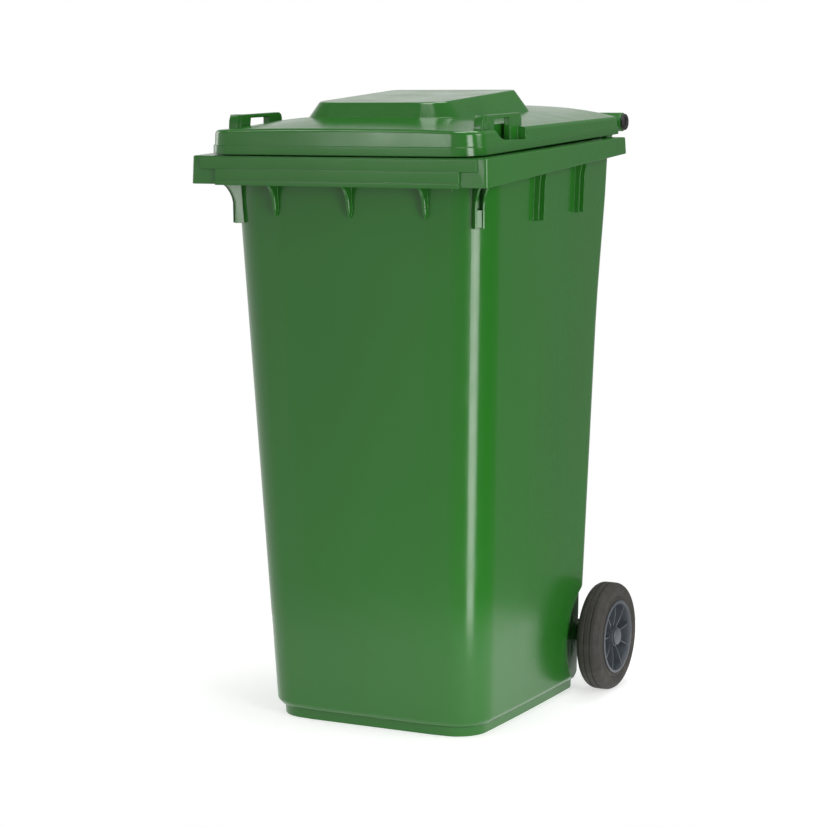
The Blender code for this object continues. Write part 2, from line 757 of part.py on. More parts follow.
def make_wheel_rim(side_name, side, paint):
    middle = WHEEL_MIDDLE_X
    profile = (
        (middle + 0.0245, 0.0640),
        (middle + 0.0245, 0.0680),
        (middle + 0.0237, 0.0690),
        (middle + 0.0218, 0.0690),
        (middle + 0.0218, 0.0655),
        (middle - 0.0228, 0.0655),
        (middle - 0.0228, 0.0690),
        (middle - 0.0262, 0.0690),
        (middle - 0.0262, 0.0600),
        (middle - 0.0090, 0.0590),
        (middle - 0.0090, 0.0190),
        (middle + HUB_INNER, 0.0170),
        (middle + HUB_INNER, AXLE_BORE),
        (middle + HUB_OUTER, AXLE_BORE),
        (middle + HUB_OUTER, 0.0180),
        (middle - 0.0050, 0.0185),
        (middle - 0.0050, 0.0590),
        (middle + 0.0170, 0.0612),
    )
    wheel = turned(f"wheel_rim_{side_name}", profile, WHEEL_CENTRE, flip=side)
    lock = (side * LOCK_X, WHEEL_CENTRE.y, 0.0)
    blades = [blade(BLADE_FIRST + math.tau * i / BLADE_COUNT, side) for i in range(BLADE_COUNT)]
    chimney = rod("chimney", 0.0066, WHEEL_CENTRE.z + 0.014, LOCK_TOP, lock, steps=16, axis="Z")
    join(wheel, chimney, *blades)
    tip = ((WHEEL_CENTRE.z + 0.005, 0.0), (WHEEL_CENTRE.z + 0.005, 0.0024), (LOCK_SEAT, 0.0024))
    bore = tip + ((LOCK_SEAT, 0.0042), (LOCK_TOP + 0.01, 0.0042), (LOCK_TOP + 0.01, 0.0))
    cut(wheel, turned("lock_bore", bore, lock, steps=16, axis="Z"))
    finish(wheel, paint, WHEEL_CENTRE)


def make_tyre(side_name, side, paint):
    middle = WHEEL_MIDDLE_X
    seat = 0.0658
    side_wall = ((0.0205, 0.0780), (0.0222, 0.0925), (0.0185, 0.0985), (0.0120, 0.1016))
    outer = [(0.0215, seat), (0.0215, 0.0740), *side_wall]
    tread = [(0.0072, WHEEL_RADIUS), (0.0058, 0.0995), (0.0044, WHEEL_RADIUS)]
    tread += [(-along, radius) for along, radius in reversed(tread)]
    inner = [(-along, radius) for along, radius in reversed(side_wall)]
    inner += [(-0.0225, 0.0740), (-0.0225, seat)]
    profile = [(middle + along, radius) for along, radius in outer + tread + inner]
    finish(turned(f"tyre_{side_name}", profile, WHEEL_CENTRE, flip=side), paint, WHEEL_CENTRE)


def make_hub_cap(side_name, side, paint):
    seat = WHEEL_MIDDLE_X + HUB_OUTER + GAP
    plug = ((seat - 0.006, 0.0), (seat - 0.006, 0.0098), (seat, 0.0100))
    face = ((seat, 0.0165), (seat + 0.0030, 0.0165), (seat + 0.0048, 0.0145), (seat + 0.0052, 0.0))
    profile = plug + face
    finish(turned(f"hub_cap_{side_name}", profile, WHEEL_CENTRE, steps=24, flip=side), paint, WHEEL_CENTRE)


def make_ring(name, low, high, radius, side, paint):
    """A plain collar on the axle."""
    profile = ((low, AXLE_BORE), (low, radius), (high, radius), (high, AXLE_BORE))
    finish(turned(name, profile, WHEEL_CENTRE, steps=20, flip=side), paint)


def make_lock(side_name, side, pin_paint, cover_paint):
    """The sprung pin that holds a wheel on the axle's groove, its spring, and the cover over both."""
    centre = (side * LOCK_X, WHEEL_CENTRE.y, 0.0)
    tip = WHEEL_CENTRE.z + AXLE_RADIUS - 0.002 + GAP
    pin = ((tip, 0.0), (tip, 0.0015), (tip + 0.0008, 0.0021))
    pin += ((LOCK_SEAT + GAP, 0.0021), (LOCK_SEAT + GAP, 0.0038))
    pin += ((SPRING_LOW - GAP, 0.0038), (SPRING_LOW - GAP, 0.0016), (SPRING_LOW + 0.003, 0.0016))
    pin += ((SPRING_LOW + 0.003, 0.0),)
    finish(turned(f"lock_pin_{side_name}", pin, centre, steps=14, axis="Z"), pin_paint)
    cover = ((SPRING_HIGH + GAP, 0.0), (SPRING_HIGH + GAP, 0.0038), (LOCK_TOP, 0.0038), (LOCK_TOP, 0.0))
    finish(turned(f"lock_cover_{side_name}", cover, centre, steps=14, axis="Z"), cover_paint)
    make_spring(f"lock_spring_{side_name}", centre, pin_paint)


def make_spring(name, centre, paint):
    """A compression spring with its axis along Z, wound as a closed wire."""
    turns, mean_radius, wire, sides, per_turn = 3.5, 0.0029, 0.00045, 5, 10
    low, high = SPRING_LOW + wire, SPRING_HIGH - wire
    rings = []
    for i in range(int(turns * per_turn) + 1):
        t = i / (turns * per_turn)
        angle = math.tau * turns * t
        out = Vector((math.cos(angle), math.sin(angle), 0.0))
        spot = Vector(centre) + out * mean_radius + Vector((0, 0, low + (high - low) * t))
        ring = []
        for k in range(sides):
            around = math.tau * k / sides
            ring.append(tuple(spot + out * wire * math.cos(around) + Vector((0, 0, wire * math.sin(around)))))
        rings.append(ring)
    finish(loft(name, rings), paint)


def build():
    clear_scene()
    tub_green = material("tub_green", GREEN, 0.32)
    lid_green = material("lid_green", GREEN, 0.30)
    black_plastic = material("black_plastic", BLACK, 0.45)
    wheel_grey = material("wheel_grey", WHEEL_GREY, 0.40)
    tyre_rubber = material("tyre_rubber", TYRE_BLACK, 0.75)
    steel = material("zinc_steel", STEEL, 0.35, 1.0)
    make_tub(tub_green)
    make_lid(lid_green)
    make_nest_plug(tub_green)
    make_axle(steel)
    recess, hub_end = HOUSING_END_X, WHEEL_MIDDLE_X + HUB_INNER
    for side_name, side in SIDES:
        make_hinge_pin(side_name, side, black_plastic)
        make_wheel_rim(side_name, side, wheel_grey)
        make_tyre(side_name, side, tyre_rubber)
        make_hub_cap(side_name, side, wheel_grey)
        make_ring(f"axle_spacer_{side_name}", recess + GAP, hub_end - 0.0028, 0.0160, side, black_plastic)
        make_ring(f"axle_washer_{side_name}", hub_end - 0.0025, hub_end - 0.0007, 0.0150, side, steel)
        make_lock(side_name, side, steel, black_plastic)


build()
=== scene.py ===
"""Looks of the two-wheeled refuse container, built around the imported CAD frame.

Metres, +Z up, the comb rim faces -Y. "Depth" is measured rearwards from the foremost face
of the comb rim, as in the CAD, so y = depth - TOTAL_DEPTH / 2.
"""

import math

import bmesh
import bpy
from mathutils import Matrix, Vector


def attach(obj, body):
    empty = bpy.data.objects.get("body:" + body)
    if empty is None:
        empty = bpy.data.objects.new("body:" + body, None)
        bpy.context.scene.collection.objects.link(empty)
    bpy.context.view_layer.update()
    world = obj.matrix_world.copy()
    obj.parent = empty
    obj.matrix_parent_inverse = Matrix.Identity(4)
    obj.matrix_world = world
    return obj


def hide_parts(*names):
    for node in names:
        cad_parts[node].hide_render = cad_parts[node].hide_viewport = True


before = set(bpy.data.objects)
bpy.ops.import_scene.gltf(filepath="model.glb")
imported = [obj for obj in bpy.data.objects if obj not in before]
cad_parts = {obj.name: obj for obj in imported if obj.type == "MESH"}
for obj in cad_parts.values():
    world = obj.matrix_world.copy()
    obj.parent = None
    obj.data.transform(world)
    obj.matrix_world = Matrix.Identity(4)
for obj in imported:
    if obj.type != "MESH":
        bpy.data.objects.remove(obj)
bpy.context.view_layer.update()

# ---------------- dimensions

# The main sizes are those of the CAD. Edges are rounded and curves have more steps here.

TOTAL_DEPTH = 0.702

WALL_DATUM = 0.97
WALL_HALF_WIDTH = 0.2535
WALL_FRONT = 0.0576
WALL_REAR = 0.6125
SIDE_LEAN = 0.0414
FRONT_LEAN = 0.0639
REAR_LEAN = 0.0073
WALL_THICKNESS = 0.004
FRONT_CORNER = 0.070
REAR_CORNER = 0.042
REAR_CORNER_TOP = 0.022
REAR_CORNER_START = WALL_DATUM + 0.03
REAR_CORNER_SPAN = 0.30
CREASE_X = 0.150
CREASE_STEP = 0.003
CREASE_BLEND = 0.008
SIDE_BOW = 0.002
FOOT_INSET = 0.0126
FOOT_HEIGHT = 0.018
FOOT_EDGE = ((0.0, 0.0015), (0.0006, 0.0004), (0.0015, 0.0))
FOOT_LIP = 0.0008
FOOT_ROUND = 0.0145
FOOT_ROUND_START = 35
FOOT_ROUND_STRETCH = 1.35
FOOT_ROUND_STEPS = 8
FOOT_STEP_HALF_WIDTH = 0.148
FOOT_STEP_DEPTH = 0.0025
FLOOR_THICKNESS = 0.005
FLOOR_ROUND = (0.0275, 0.003)
UPPER_LEVELS = (0.70, 0.76, 0.82, 0.88, 0.94)
OUTER_LEVELS = (0.10, 0.30, 0.50) + UPPER_LEVELS
INNER_LEVELS = (0.036, 0.30, 0.60) + UPPER_LEVELS
MOUTH_LIP = 0.0015

RIM_HALF_WIDTH = 0.2860
RIM_DRAFT = 0.0013
RIM_FRONT = 0.006
RIM_REAR = 0.6155
RIM_CORNER = 0.006
RIM_TOP = 1.0180
RIM_TOP_RISE = 0.0466
SKIRT_BOTTOM = 0.9690
SKIRT_BOTTOM_RISE = 0.0769
SKIRT_THICKNESS = 0.0035
SKIRT_EDGE = 0.0007
LEDGE_THICKNESS = 0.004
LEDGE_EDGE = 0.0020
LEDGE_EDGE_MIDDLE = 0.0006
COMB_BANDS = (
    (0.9955, 1.0160, 0.2665, 0.0030),
    (0.9760, 0.9958, 0.2350, 0.0015),
    (0.9680, 0.9765, 0.2350, 0.0),
)
BAND_EDGE = 0.0009

FIN_X = (-0.146, 0.0, 0.146)
FIN_THICKNESS = 0.007
FIN_BOTTOM = 0.918
FIN_NECK = 0.010
FIN_FLARE = 0.040
FIN_CURVE_START = 0.012
FIN_CURVE_HEIGHT = 0.042
FIN_CURVE_STEPS = 8
FIN_EDGE = 0.0012
CORNER_WEB_SPREAD = 0.007
CORNER_WEB_BOTTOM = 0.899
CORNER_WEB_THICKNESS = 0.004
CORNER_WEB_CURVE = (
    (0.022, 0.0), (0.0225, 0.036), (0.0245, 0.045), (0.028, 0.053), (0.034, 0.062),
    (0.043, 0.070), (0.052, 0.075), (0.062, 0.078),
)
BRIDGE_REACH = 0.019
BRIDGE_HEIGHT = 0.030
SIDE_RIB_PAIRS = ((0.266, 0.289, 0.905), (0.444, 0.465, 0.913))
SIDE_RIB_REACH = 0.010
SIDE_RIB_THICKNESS = 0.003
SIDE_RIB_FLARE = 0.006
SIDE_RIB_ROOT = -0.008
MOULDED_EDGE = 0.0007

NEST_X = 0.209
NEST_DEPTH = 0.030
NEST_RADIUS = 0.013
NEST_WALL = 0.003
NEST_BOTTOM = 0.982

WHEEL_RADIUS = 0.102
WHEEL_DEPTH = 0.600
WHEEL_MIDDLE_X = 0.2610
AXLE_BORE = 0.0104
BLADE_COUNT = 9
BLADE_FIRST = math.radians(14)
BLADE_THICKNESS = 0.0022
BLADE_SPAN = (0.0165, 0.0620)
BLADE_INNER = -0.0070
BLADE_OUTER = 0.0205
BLADE_DIP = 0.0070
BLADE_STEPS = 12
BLADE_EDGE = 0.0004
LOCK_X = WHEEL_MIDDLE_X + 0.0045
LOCK_SEAT = WHEEL_RADIUS + 0.0120
LOCK_TOP = WHEEL_RADIUS + 0.0250
HUB_INNER = -0.0270
HUB_OUTER = 0.0195
# (along the axle from the wheel's middle, radius) round the section of the wheel rim
HUB_PROFILE = (
    (0.0245, 0.0640), (0.0245, 0.0680), (0.0237, 0.0690), (0.0218, 0.0690), (0.0218, 0.0655),
    (-0.0228, 0.0655), (-0.0228, 0.0690), (-0.0262, 0.0690), (-0.0262, 0.0600),
    (-0.0090, 0.0590), (-0.0090, 0.0190), (HUB_INNER, 0.0170), (HUB_INNER, AXLE_BORE),
    (HUB_OUTER, AXLE_BORE), (HUB_OUTER, 0.0180), (-0.0050, 0.0185), (-0.0050, 0.0590),
    (0.0170, 0.0612),
)
CHIMNEY_RADIUS = 0.0066
CHIMNEY_FOOT = 0.014
PIN_TIP_FOOT = 0.005
PIN_TIP_BORE = 0.0024
SPRING_BORE = 0.0042
TYRE_SEAT = 0.0658
TYRE_SIDEWALL = (
    (0.0215, TYRE_SEAT), (0.0215, 0.0735), (0.0208, 0.0752), (0.0196, 0.0765), (0.0206, 0.0790),
    (0.0220, 0.0860), (0.0222, 0.0925), (0.0208, 0.0960), (0.0185, 0.0985), (0.0180, 0.0986),
    (0.0150, 0.1006), (0.0120, 0.1016),
)
TYRE_GROOVE = ((0.0072, WHEEL_RADIUS), (0.0066, 0.0998), (0.0050, 0.0998), (0.0044, WHEEL_RADIUS))
TYRE_INNER_FOOT = ((-0.0205, 0.0780), (-0.0225, 0.0740), (-0.0225, TYRE_SEAT))
CAP_GAP = 0.0003
# (along the axle from the cap's seat, radius) round the section of a hub cap
CAP_PROFILE = (
    (-0.006, 0.0), (-0.006, 0.0098), (0.0, 0.0100), (0.0, 0.0165), (0.0026, 0.0165),
    (0.0044, 0.0150), (0.0050, 0.0105), (0.0052, 0.0),
)

ARCH_DEPTH = 0.613
ARCH_HEIGHT = 0.102
ARCH_RADIUS = 0.104
ARCH_FACE_X = 0.2035
ARCH_END_X = 0.30
BAY_HALF_WIDTH = 0.188
BAY_PROFILE = ((0.660, 0.050), (0.574, 0.066), (0.574, 0.138), (0.660, 0.182))
HOUSING_RADIUS = 0.026
HOUSING_END_X = ARCH_FACE_X + 0.0015
BAY_RIB_X = 0.065
BAY_RIB_THICKNESS = 0.008
BAY_WALL_HALF_WIDTH = 0.26
BEARER_WEB = ((0.568, 0.062), (0.600, 0.076), (0.600, 0.128), (0.568, 0.142))
AXLE_BORE_HALF_LENGTH = 0.23

HINGE_DEPTH = 0.672
HINGE_HEIGHT = 1.074
TUBE_RADIUS = 0.0175
TUBE_INNER_X = 0.105
TUBE_OUTER_X = 0.255
PIN_BORE = 0.0109
EAR_X = (0.046, 0.059)
KNUCKLE_X = (0.062, 0.103)
KNUCKLE_RADIUS = 0.0165
LUG_X = ((0.1065, 0.1175), (0.222, 0.234))
# (depth, height) from the hinge axis round the section of a handle lug and of a knuckle's arm
LUG_PROFILE = (
    (-0.063, -0.029), (-0.030, -0.029), (-0.022, -0.018), (-0.0118, -0.0080),
    (-0.0025, -0.0140), (0.0075, -0.0122), (-0.006, -0.031), (-0.030, -0.058), (-0.063, -0.078),
)
ARM_PROFILE = (
    (-0.040, 0.016), (-0.010, 0.0155), (0.0, 0.0), (-0.007, -0.0150), (-0.030, -0.019),
    (-0.040, -0.019),
)
ARM_CLEARANCE = 0.0015

LID_HALF_WIDTH = 0.2628
LID_FRONT = 0.0085
LID_REAR = 0.641
LID_FRONT_CORNER = 0.048
LID_REAR_CORNER = 0.014
LID_BOTTOM = 1.0200
LID_BOTTOM_RISE = 0.0507
LID_TOP = 1.0612
LID_TOP_RISE = 0.0375
LID_WALL = 0.0035
LID_STEP_HEIGHT = 0.0152
# (extra inset, height from the top of the step) round the step's edge
LID_STEP_EDGE = ((0.0, -0.0009), (0.0003, -0.0002), (0.0010, 0.0001), (0.0022, 0.0004), (0.0024, 0.0012))
LID_LOWER_EDGE = 0.0008
LID_UPPER_INSET = 0.0032
LID_UPPER_ROUND = 0.0068
LID_ROUND_STEPS = 5
LID_TOP_RINGS = 18
LID_POINT_GAP = 0.030
LID_EDGE_WIDTH = 0.010
LID_CROWN = 0.0205
LID_FRONT_CROWN = 0.22
LID_INSIDE_DROP = 0.02
RAMP_END = 0.150

DOME_HALF_WIDTH = 0.127
DOME_FRONT = 0.149
DOME_REAR = 0.469
DOME_CORNERS = (0.045, 0.014)
DOME_TOP = 1.110
DOME_RISE = 0.075
DOME_FLARE = 0.70
DOME_SKIRT = 0.045
# (extra inset, drop) round the dome's upper edge
DOME_EDGE = ((-0.0016, 0.0030), (-0.0003, 0.0014), (0.0012, 0.0004), (0.003, 0.0))

GRIP_X = (0.2320, 0.2445)
GRIP_FRONT = 0.066
GRIP_REAR = 0.232
GRIP_HOLE = (0.122, 0.184)
GRIP_EDGE = 0.0016
GRIP_RIB_DEPTHS = (GRIP_FRONT, GRIP_FRONT + 0.013)
GRIP_RIB_PROUD = 0.002
GRIP_RIB_EDGE = 0.0012
SCOOP_LOW = 1.0475
SCOOP_X = 0.2250
SCOOP_OUT = 0.300
SCOOP_FRONT = 0.092
SCOOP_DISH = 0.028
SCOOP_TOP = 1.12
SCOOP_STEPS = 14
GRIP_TOP = 1.0868
GRIP_RISE = 0.0265
GRIP_BAR = 0.0070

SMALL_ROUND_STEPS = 56
WHEEL_STEPS = 96
SIDES = (("left", -1), ("right", 1))

# limits used in making and cleaning meshes
MERGE_DISTANCE = 1e-6
ON_AXIS = 1e-6
SLIVER = 2e-6
FLAT_ANGLE = math.radians(0.05)
SMOOTH_ANGLE = math.radians(32.0)
SHARP_ANGLE = math.radians(30.0)

# a corner of a section flatter than this isn't rounded, and an arc takes at most this share of a side
STRAIGHT_ANGLE = math.radians(165)
ARC_SHARE = 0.45


def y_at(depth):
    return depth - TOTAL_DEPTH / 2


WHEEL_CENTRE = Vector((0.0, y_at(WHEEL_DEPTH), WHEEL_RADIUS))
HINGE = Vector((0.0, y_at(HINGE_DEPTH), HINGE_HEIGHT))

# ---------------- mesh helpers


def solid(name, points, faces, soften=0.0):
    """A closed mesh from points and faces; soften rounds its sharp edges by that much."""
    mesh = bpy.data.meshes.new(name)
    mesh.from_pydata([tuple(p) for p in points], [], faces)
    shape = bmesh.new()
    shape.from_mesh(mesh)
    bmesh.ops.remove_doubles(shape, verts=shape.verts, dist=MERGE_DISTANCE)
    bmesh.ops.recalc_face_normals(shape, faces=shape.faces)
    if soften:
        edges = [e for e in shape.edges if e.calc_face_angle(0.0) > SHARP_ANGLE]
        bmesh.ops.bevel(
            shape, geom=edges, offset=soften, offset_type="OFFSET", segments=2,
            profile=0.5, affect="EDGES", clamp_overlap=True,
        )
    bmesh.ops.triangulate(shape, faces=shape.faces)
    shape.to_mesh(mesh)
    shape.free()
    thing = bpy.data.objects.new(name, mesh)
    bpy.context.scene.collection.objects.link(thing)
    return thing


def loft(name, rings, fan_last=False, soften=0.0):
    """A solid skinned over rings of equally many points, closed by a flat face at each end."""
    count = len(rings[0])
    points = [point for ring in rings for point in ring]
    faces = []
    for level in range(len(rings) - 1):
        for i in range(count):
            j = (i + 1) % count
            low = level * count
            high = low + count
            faces.append((low + i, low + j, high + j, high + i))
    faces.append(tuple(range(count)))
    last = (len(rings) - 1) * count
    if fan_last:
        middle = sum((Vector(p) for p in rings[-1]), Vector()) / count
        points.append(tuple(middle))
        faces += [(last + i, last + (i + 1) % count, len(points) - 1) for i in range(count)]
    else:
        faces.append(tuple(range(last, last + count)))
    return solid(name, points, faces, soften)


def prism(name, corners, low, high, soften=0.0):
    """A solid of constant section along X; corners are (depth, height) pairs."""
    rings = [[(x, y_at(d), z) for d, z in corners] for x in (low, high)]
    return loft(name, rings, soften=soften)


def block(name, x, depth, height, soften=0.0):
    """A box between two values each of x, depth and height."""
    (front, rear), (low, high) = depth, height
    corners = ((front, low), (rear, low), (rear, high), (front, high))
    return prism(name, corners, x[0], x[1], soften)


def plate(name, profile, thickness, base, heading, soften=0.0):
    """An upright plate. The profile is (reach, height) pairs; reach runs from base along heading."""
    along = Vector((math.cos(heading), math.sin(heading), 0.0))
    across = Vector((-along.y, along.x, 0.0)) * thickness / 2
    foot = Vector((base[0], y_at(base[1]), 0.0))
    rings = []
    for side in (-1, 1):
        offset = across * side
        rings.append([tuple(foot + along * reach + offset + Vector((0, 0, z))) for reach, z in profile])
    return loft(name, rings, soften=soften)


def rod(name, radius, low, high, centre, steps=48, axis="X"):
    """A plain cylinder from low to high along X or Z."""
    rings = []
    for at in (low, high):
        ring = []
        for i in range(steps):
            angle = math.tau * (i + 0.5) / steps
            a, b = radius * math.cos(angle), radius * math.sin(angle)
            if axis == "X":
                ring.append((at, centre[1] + a, centre[2] + b))
            else:
                ring.append((centre[0] + a, centre[1] + b, at))
        rings.append(ring)
    return loft(name, rings)


def round_profile(profile, radius, steps=3):
    """Replaces each corner of an (along, radius) outline by a small arc, except on the axis."""
    done = []
    count = len(profile)
    for i in range(count):
        here = Vector(profile[i])
        if here.y < ON_AXIS:
            done.append(tuple(here))
            continue
        back = Vector(profile[i - 1]) - here
        on = Vector(profile[(i + 1) % count]) - here
        reach = min(radius, back.length * ARC_SHARE, on.length * ARC_SHARE)
        if back.angle(on) > STRAIGHT_ANGLE:
            done.append(tuple(here))
            continue
        start = here + back.normalized() * reach
        end = here + on.normalized() * reach
        for k in range(steps + 1):
            t = k / steps
            done.append(tuple(start * (1 - t) ** 2 + here * 2 * t * (1 - t) + end * t * t))
    return done


def turned(name, profile, centre, steps=64, flip=1, axis="X", soften=0.0):
    """A body of revolution about X or Z. The profile is (along, radius) pairs around its outline."""
    if soften:
        profile = round_profile(profile, soften)
    points = []
    starts = []
    for along, radius in profile:
        starts.append((len(points), 1 if radius < ON_AXIS else steps))
        for i in range(starts[-1][1]):
            angle = math.tau * i / steps
            a, b = radius * math.cos(angle), radius * math.sin(angle)
            if axis == "X":
                points.append((flip * along, centre[1] + a, centre[2] + b))
            else:
                points.append((centre[0] + a, centre[1] + b, along))
    faces = []
    for k in range(len(profile)):
        first, first_count = starts[k]
        second, second_count = starts[(k + 1) % len(profile)]
        if first_count == second_count == 1:
            continue
        for i in range(steps):
            j = (i + 1) % steps
            face = [first + i % first_count, second + i % second_count, second + j % second_count]
            face.append(first + j % first_count)
            faces.append(tuple(dict.fromkeys(face)))
    return solid(name, points, faces)


def combine(target, tools, operation):
    """Joins all the tools to the target, or cuts them all away, in one step."""
    group = bpy.data.collections.new("tools")
    for tool in tools:
        group.objects.link(tool)
    modifier = target.modifiers.new("combine", "BOOLEAN")
    modifier.operation = operation
    modifier.solver = "EXACT"
    modifier.operand_type = "COLLECTION"
    modifier.collection = group
    graph = bpy.context.evaluated_depsgraph_get()
    graph.update()
    mesh = bpy.data.meshes.new_from_object(target.evaluated_get(graph))
    target.modifiers.clear()
    target.data = mesh
    for tool in tools:
        bpy.data.objects.remove(tool)
    bpy.data.collections.remove(group)
    return target


def join(target, *tools):
    return combine(target, tools, "UNION")


def cut(target, *tools):
    return combine(target, tools, "DIFFERENCE")


def finish(thing, paint, body, slot, *nodes):
    """Cleans a mesh, paints it, rides it on its body and lets it stand for its CAD nodes."""
    shape = bmesh.new()
    shape.from_mesh(thing.data)
    bmesh.ops.dissolve_limit(shape, angle_limit=FLAT_ANGLE, verts=shape.verts, edges=shape.edges)
    bmesh.ops.dissolve_degenerate(shape, dist=SLIVER, edges=shape.edges)
    bmesh.ops.triangulate(shape, faces=shape.faces)
    bmesh.ops.recalc_face_normals(shape, faces=shape.faces)
    shape.to_mesh(thing.data)
    shape.free()
    thing.data.materials.clear()
    thing.data.materials.append(paint)
    thing.data.shade_smooth()
    thing.data.set_sharp_from_angle(angle=SMOOTH_ANGLE)
    weighted = thing.modifiers.new("weighted", "WEIGHTED_NORMAL")
    weighted.keep_sharp = True
    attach(thing, body)
    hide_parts(*nodes)
    return thing


# ---------------- outlines


def outline(half_width, front, rear, corners, crease=0.0, recede=0.0, bow=0.0, steps=(20, 12)):
    """A closed ring of (x, depth) pairs: a rectangle with round corners, the same on both sides."""
    front_corner, rear_corner = corners
    right = [(0.0, front)]
    corner_depth = front + recede + front_corner
    if crease:
        span = half_width - front_corner - crease
        blend = min(CREASE_BLEND, span * 0.4)
        right += [(crease * 0.5, front), (crease - blend, front)]
        for t in (0.25, 0.50, 0.75, 1.0):
            right.append((crease - blend + 2 * blend * t, front + recede * blend / span * t * t))
    for i in range(steps[0] + 1):
        angle = math.pi / 2 * (i / steps[0] - 1.0)
        x = half_width - front_corner + front_corner * math.cos(angle)
        right.append((x, corner_depth + front_corner * math.sin(angle)))
    sides = 12
    for k in range(1, sides):
        t = k / sides
        depth = corner_depth + t * (rear - rear_corner - corner_depth)
        right.append((half_width + bow * (1.0 - (2.0 * t - 1.0) ** 2), depth))
    for i in range(steps[1] + 1):
        angle = math.pi / 2 * i / steps[1]
        x = half_width - rear_corner + rear_corner * math.cos(angle)
        right.append((x, rear - rear_corner + rear_corner * math.sin(angle)))
    right += [(half_width * 0.4, rear), (0.0, rear)]
    return right + [(-x, d) for x, d in reversed(right) if x > ON_AXIS]


def rear_corner_at(height):
    """The rear corners are tighter just below the rim and widen over the upper quarter."""
    t = min(1.0, max(0.0, (REAR_CORNER_START - height) / REAR_CORNER_SPAN))
    t = t * t * (3 - 2 * t)
    return REAR_CORNER_TOP + (REAR_CORNER - REAR_CORNER_TOP) * t


def wall_outline(height, inset):
    """The outline of the leaning walls at a height."""
    below = WALL_DATUM - height
    corners = (FRONT_CORNER - inset, rear_corner_at(height) - inset)
    return outline(
        WALL_HALF_WIDTH - SIDE_LEAN * below - inset,
        WALL_FRONT + FRONT_LEAN * below + inset,
        WALL_REAR - REAR_LEAN * below - inset,
        corners,
        crease=CREASE_X - SIDE_LEAN * below,
        recede=CREASE_STEP,
        bow=SIDE_BOW,
    )


def wall_ring(height_at, inset):
    """A ring on the leaning walls at a height that may change with depth."""
    level = wall_outline(height_at(TOTAL_DEPTH / 2), inset)
    ring = []
    for i, (_, depth) in enumerate(level):
        x, d = wall_outline(height_at(depth), inset)[i]
        ring.append((x, y_at(d), height_at(depth)))
    return ring


def rim_top(depth):
    return RIM_TOP + RIM_TOP_RISE * depth


def skirt_bottom(depth):
    return SKIRT_BOTTOM + SKIRT_BOTTOM_RISE * depth


def under_rim(depth):
    """Just below the top of the rim, where what is joined to it ends."""
    return rim_top(depth) - 0.002


def rim_ring(height_at, inset):
    corners = (RIM_CORNER, RIM_CORNER)
    ring = outline(RIM_HALF_WIDTH - inset, RIM_FRONT + inset, RIM_REAR - inset, corners, steps=(6, 6))
    return [(x, y_at(d), height_at(d)) for x, d in ring]


def bay_polygon(grow):
    """The section of the axle bay; with grow it is the bay plus the wall around it."""
    (far, low), (deep, deep_low), (_, deep_high), (_, high) = BAY_PROFILE
    inner = deep - grow
    return ((far, low - grow), (inner, deep_low - grow), (inner, deep_high + grow), (far, high + grow))


# ---------------- tub


def foot_levels():
    """(height, inset) pairs up the foot and round the lower edge of the walls."""
    levels = [(height, FOOT_INSET + extra) for height, extra in FOOT_EDGE]
    levels.append((FOOT_HEIGHT, FOOT_INSET))
    start = math.radians(FOOT_ROUND_START)
    for k in range(FOOT_ROUND_STEPS + 1):
        angle = math.radians(FOOT_ROUND_START + (90 - FOOT_ROUND_START) * k / FOOT_ROUND_STEPS)
        height = FOOT_HEIGHT + FOOT_LIP + FOOT_ROUND * math.sin(angle - start)
        levels.append((height, FOOT_ROUND * (1 - math.sin(angle)) * FOOT_ROUND_STRETCH))
    return levels


def tub_outside():
    """The outside of the tub below the rim, as a block."""
    rings = [wall_ring(lambda d, z=z: z, inset) for z, inset in foot_levels()]
    for height in OUTER_LEVELS:
        rings.append(wall_ring(lambda d, z=height: z, 0.0))
    rings.append(wall_ring(under_rim, 0.0))
    return loft("tub_outside", rings)


def wheel_arch(side, grow):
    """The round recess beside each wheel; with grow it is the recess plus the wall around it."""
    near, far = sorted((side * (ARCH_FACE_X - grow), side * ARCH_END_X))
    centre = (0.0, y_at(ARCH_DEPTH), ARCH_HEIGHT)
    return rod("arch", ARCH_RADIUS + grow, near, far, centre, steps=WHEEL_STEPS)


def tub_inside():
    """The space inside the tub, as a block to cut away. It opens a little at the mouth."""
    wall = WALL_THICKNESS
    in_foot = FOOT_INSET + wall
    round_height, round_inset = FLOOR_ROUND
    levels = ((FLOOR_THICKNESS, in_foot), (FOOT_HEIGHT + wall, in_foot), (round_height, round_inset + wall))
    rings = [wall_ring(lambda d, z=z: z, inset) for z, inset in levels]
    for height in INNER_LEVELS:
        rings.append(wall_ring(lambda d, z=height: z, wall))
    rings.append(wall_ring(under_rim, wall))
    rings.append(wall_ring(lambda d: rim_top(d) + 0.0005, wall - MOUTH_LIP))
    rings.append(wall_ring(lambda d: rim_top(d) + 0.02, wall - MOUTH_LIP))
    bay_wall = prism("bay_wall", bay_polygon(wall), -BAY_WALL_HALF_WIDTH, BAY_WALL_HALF_WIDTH)
    return cut(loft("tub_inside", rings), bay_wall, *[wheel_arch(side, wall) for _, side in SIDES])


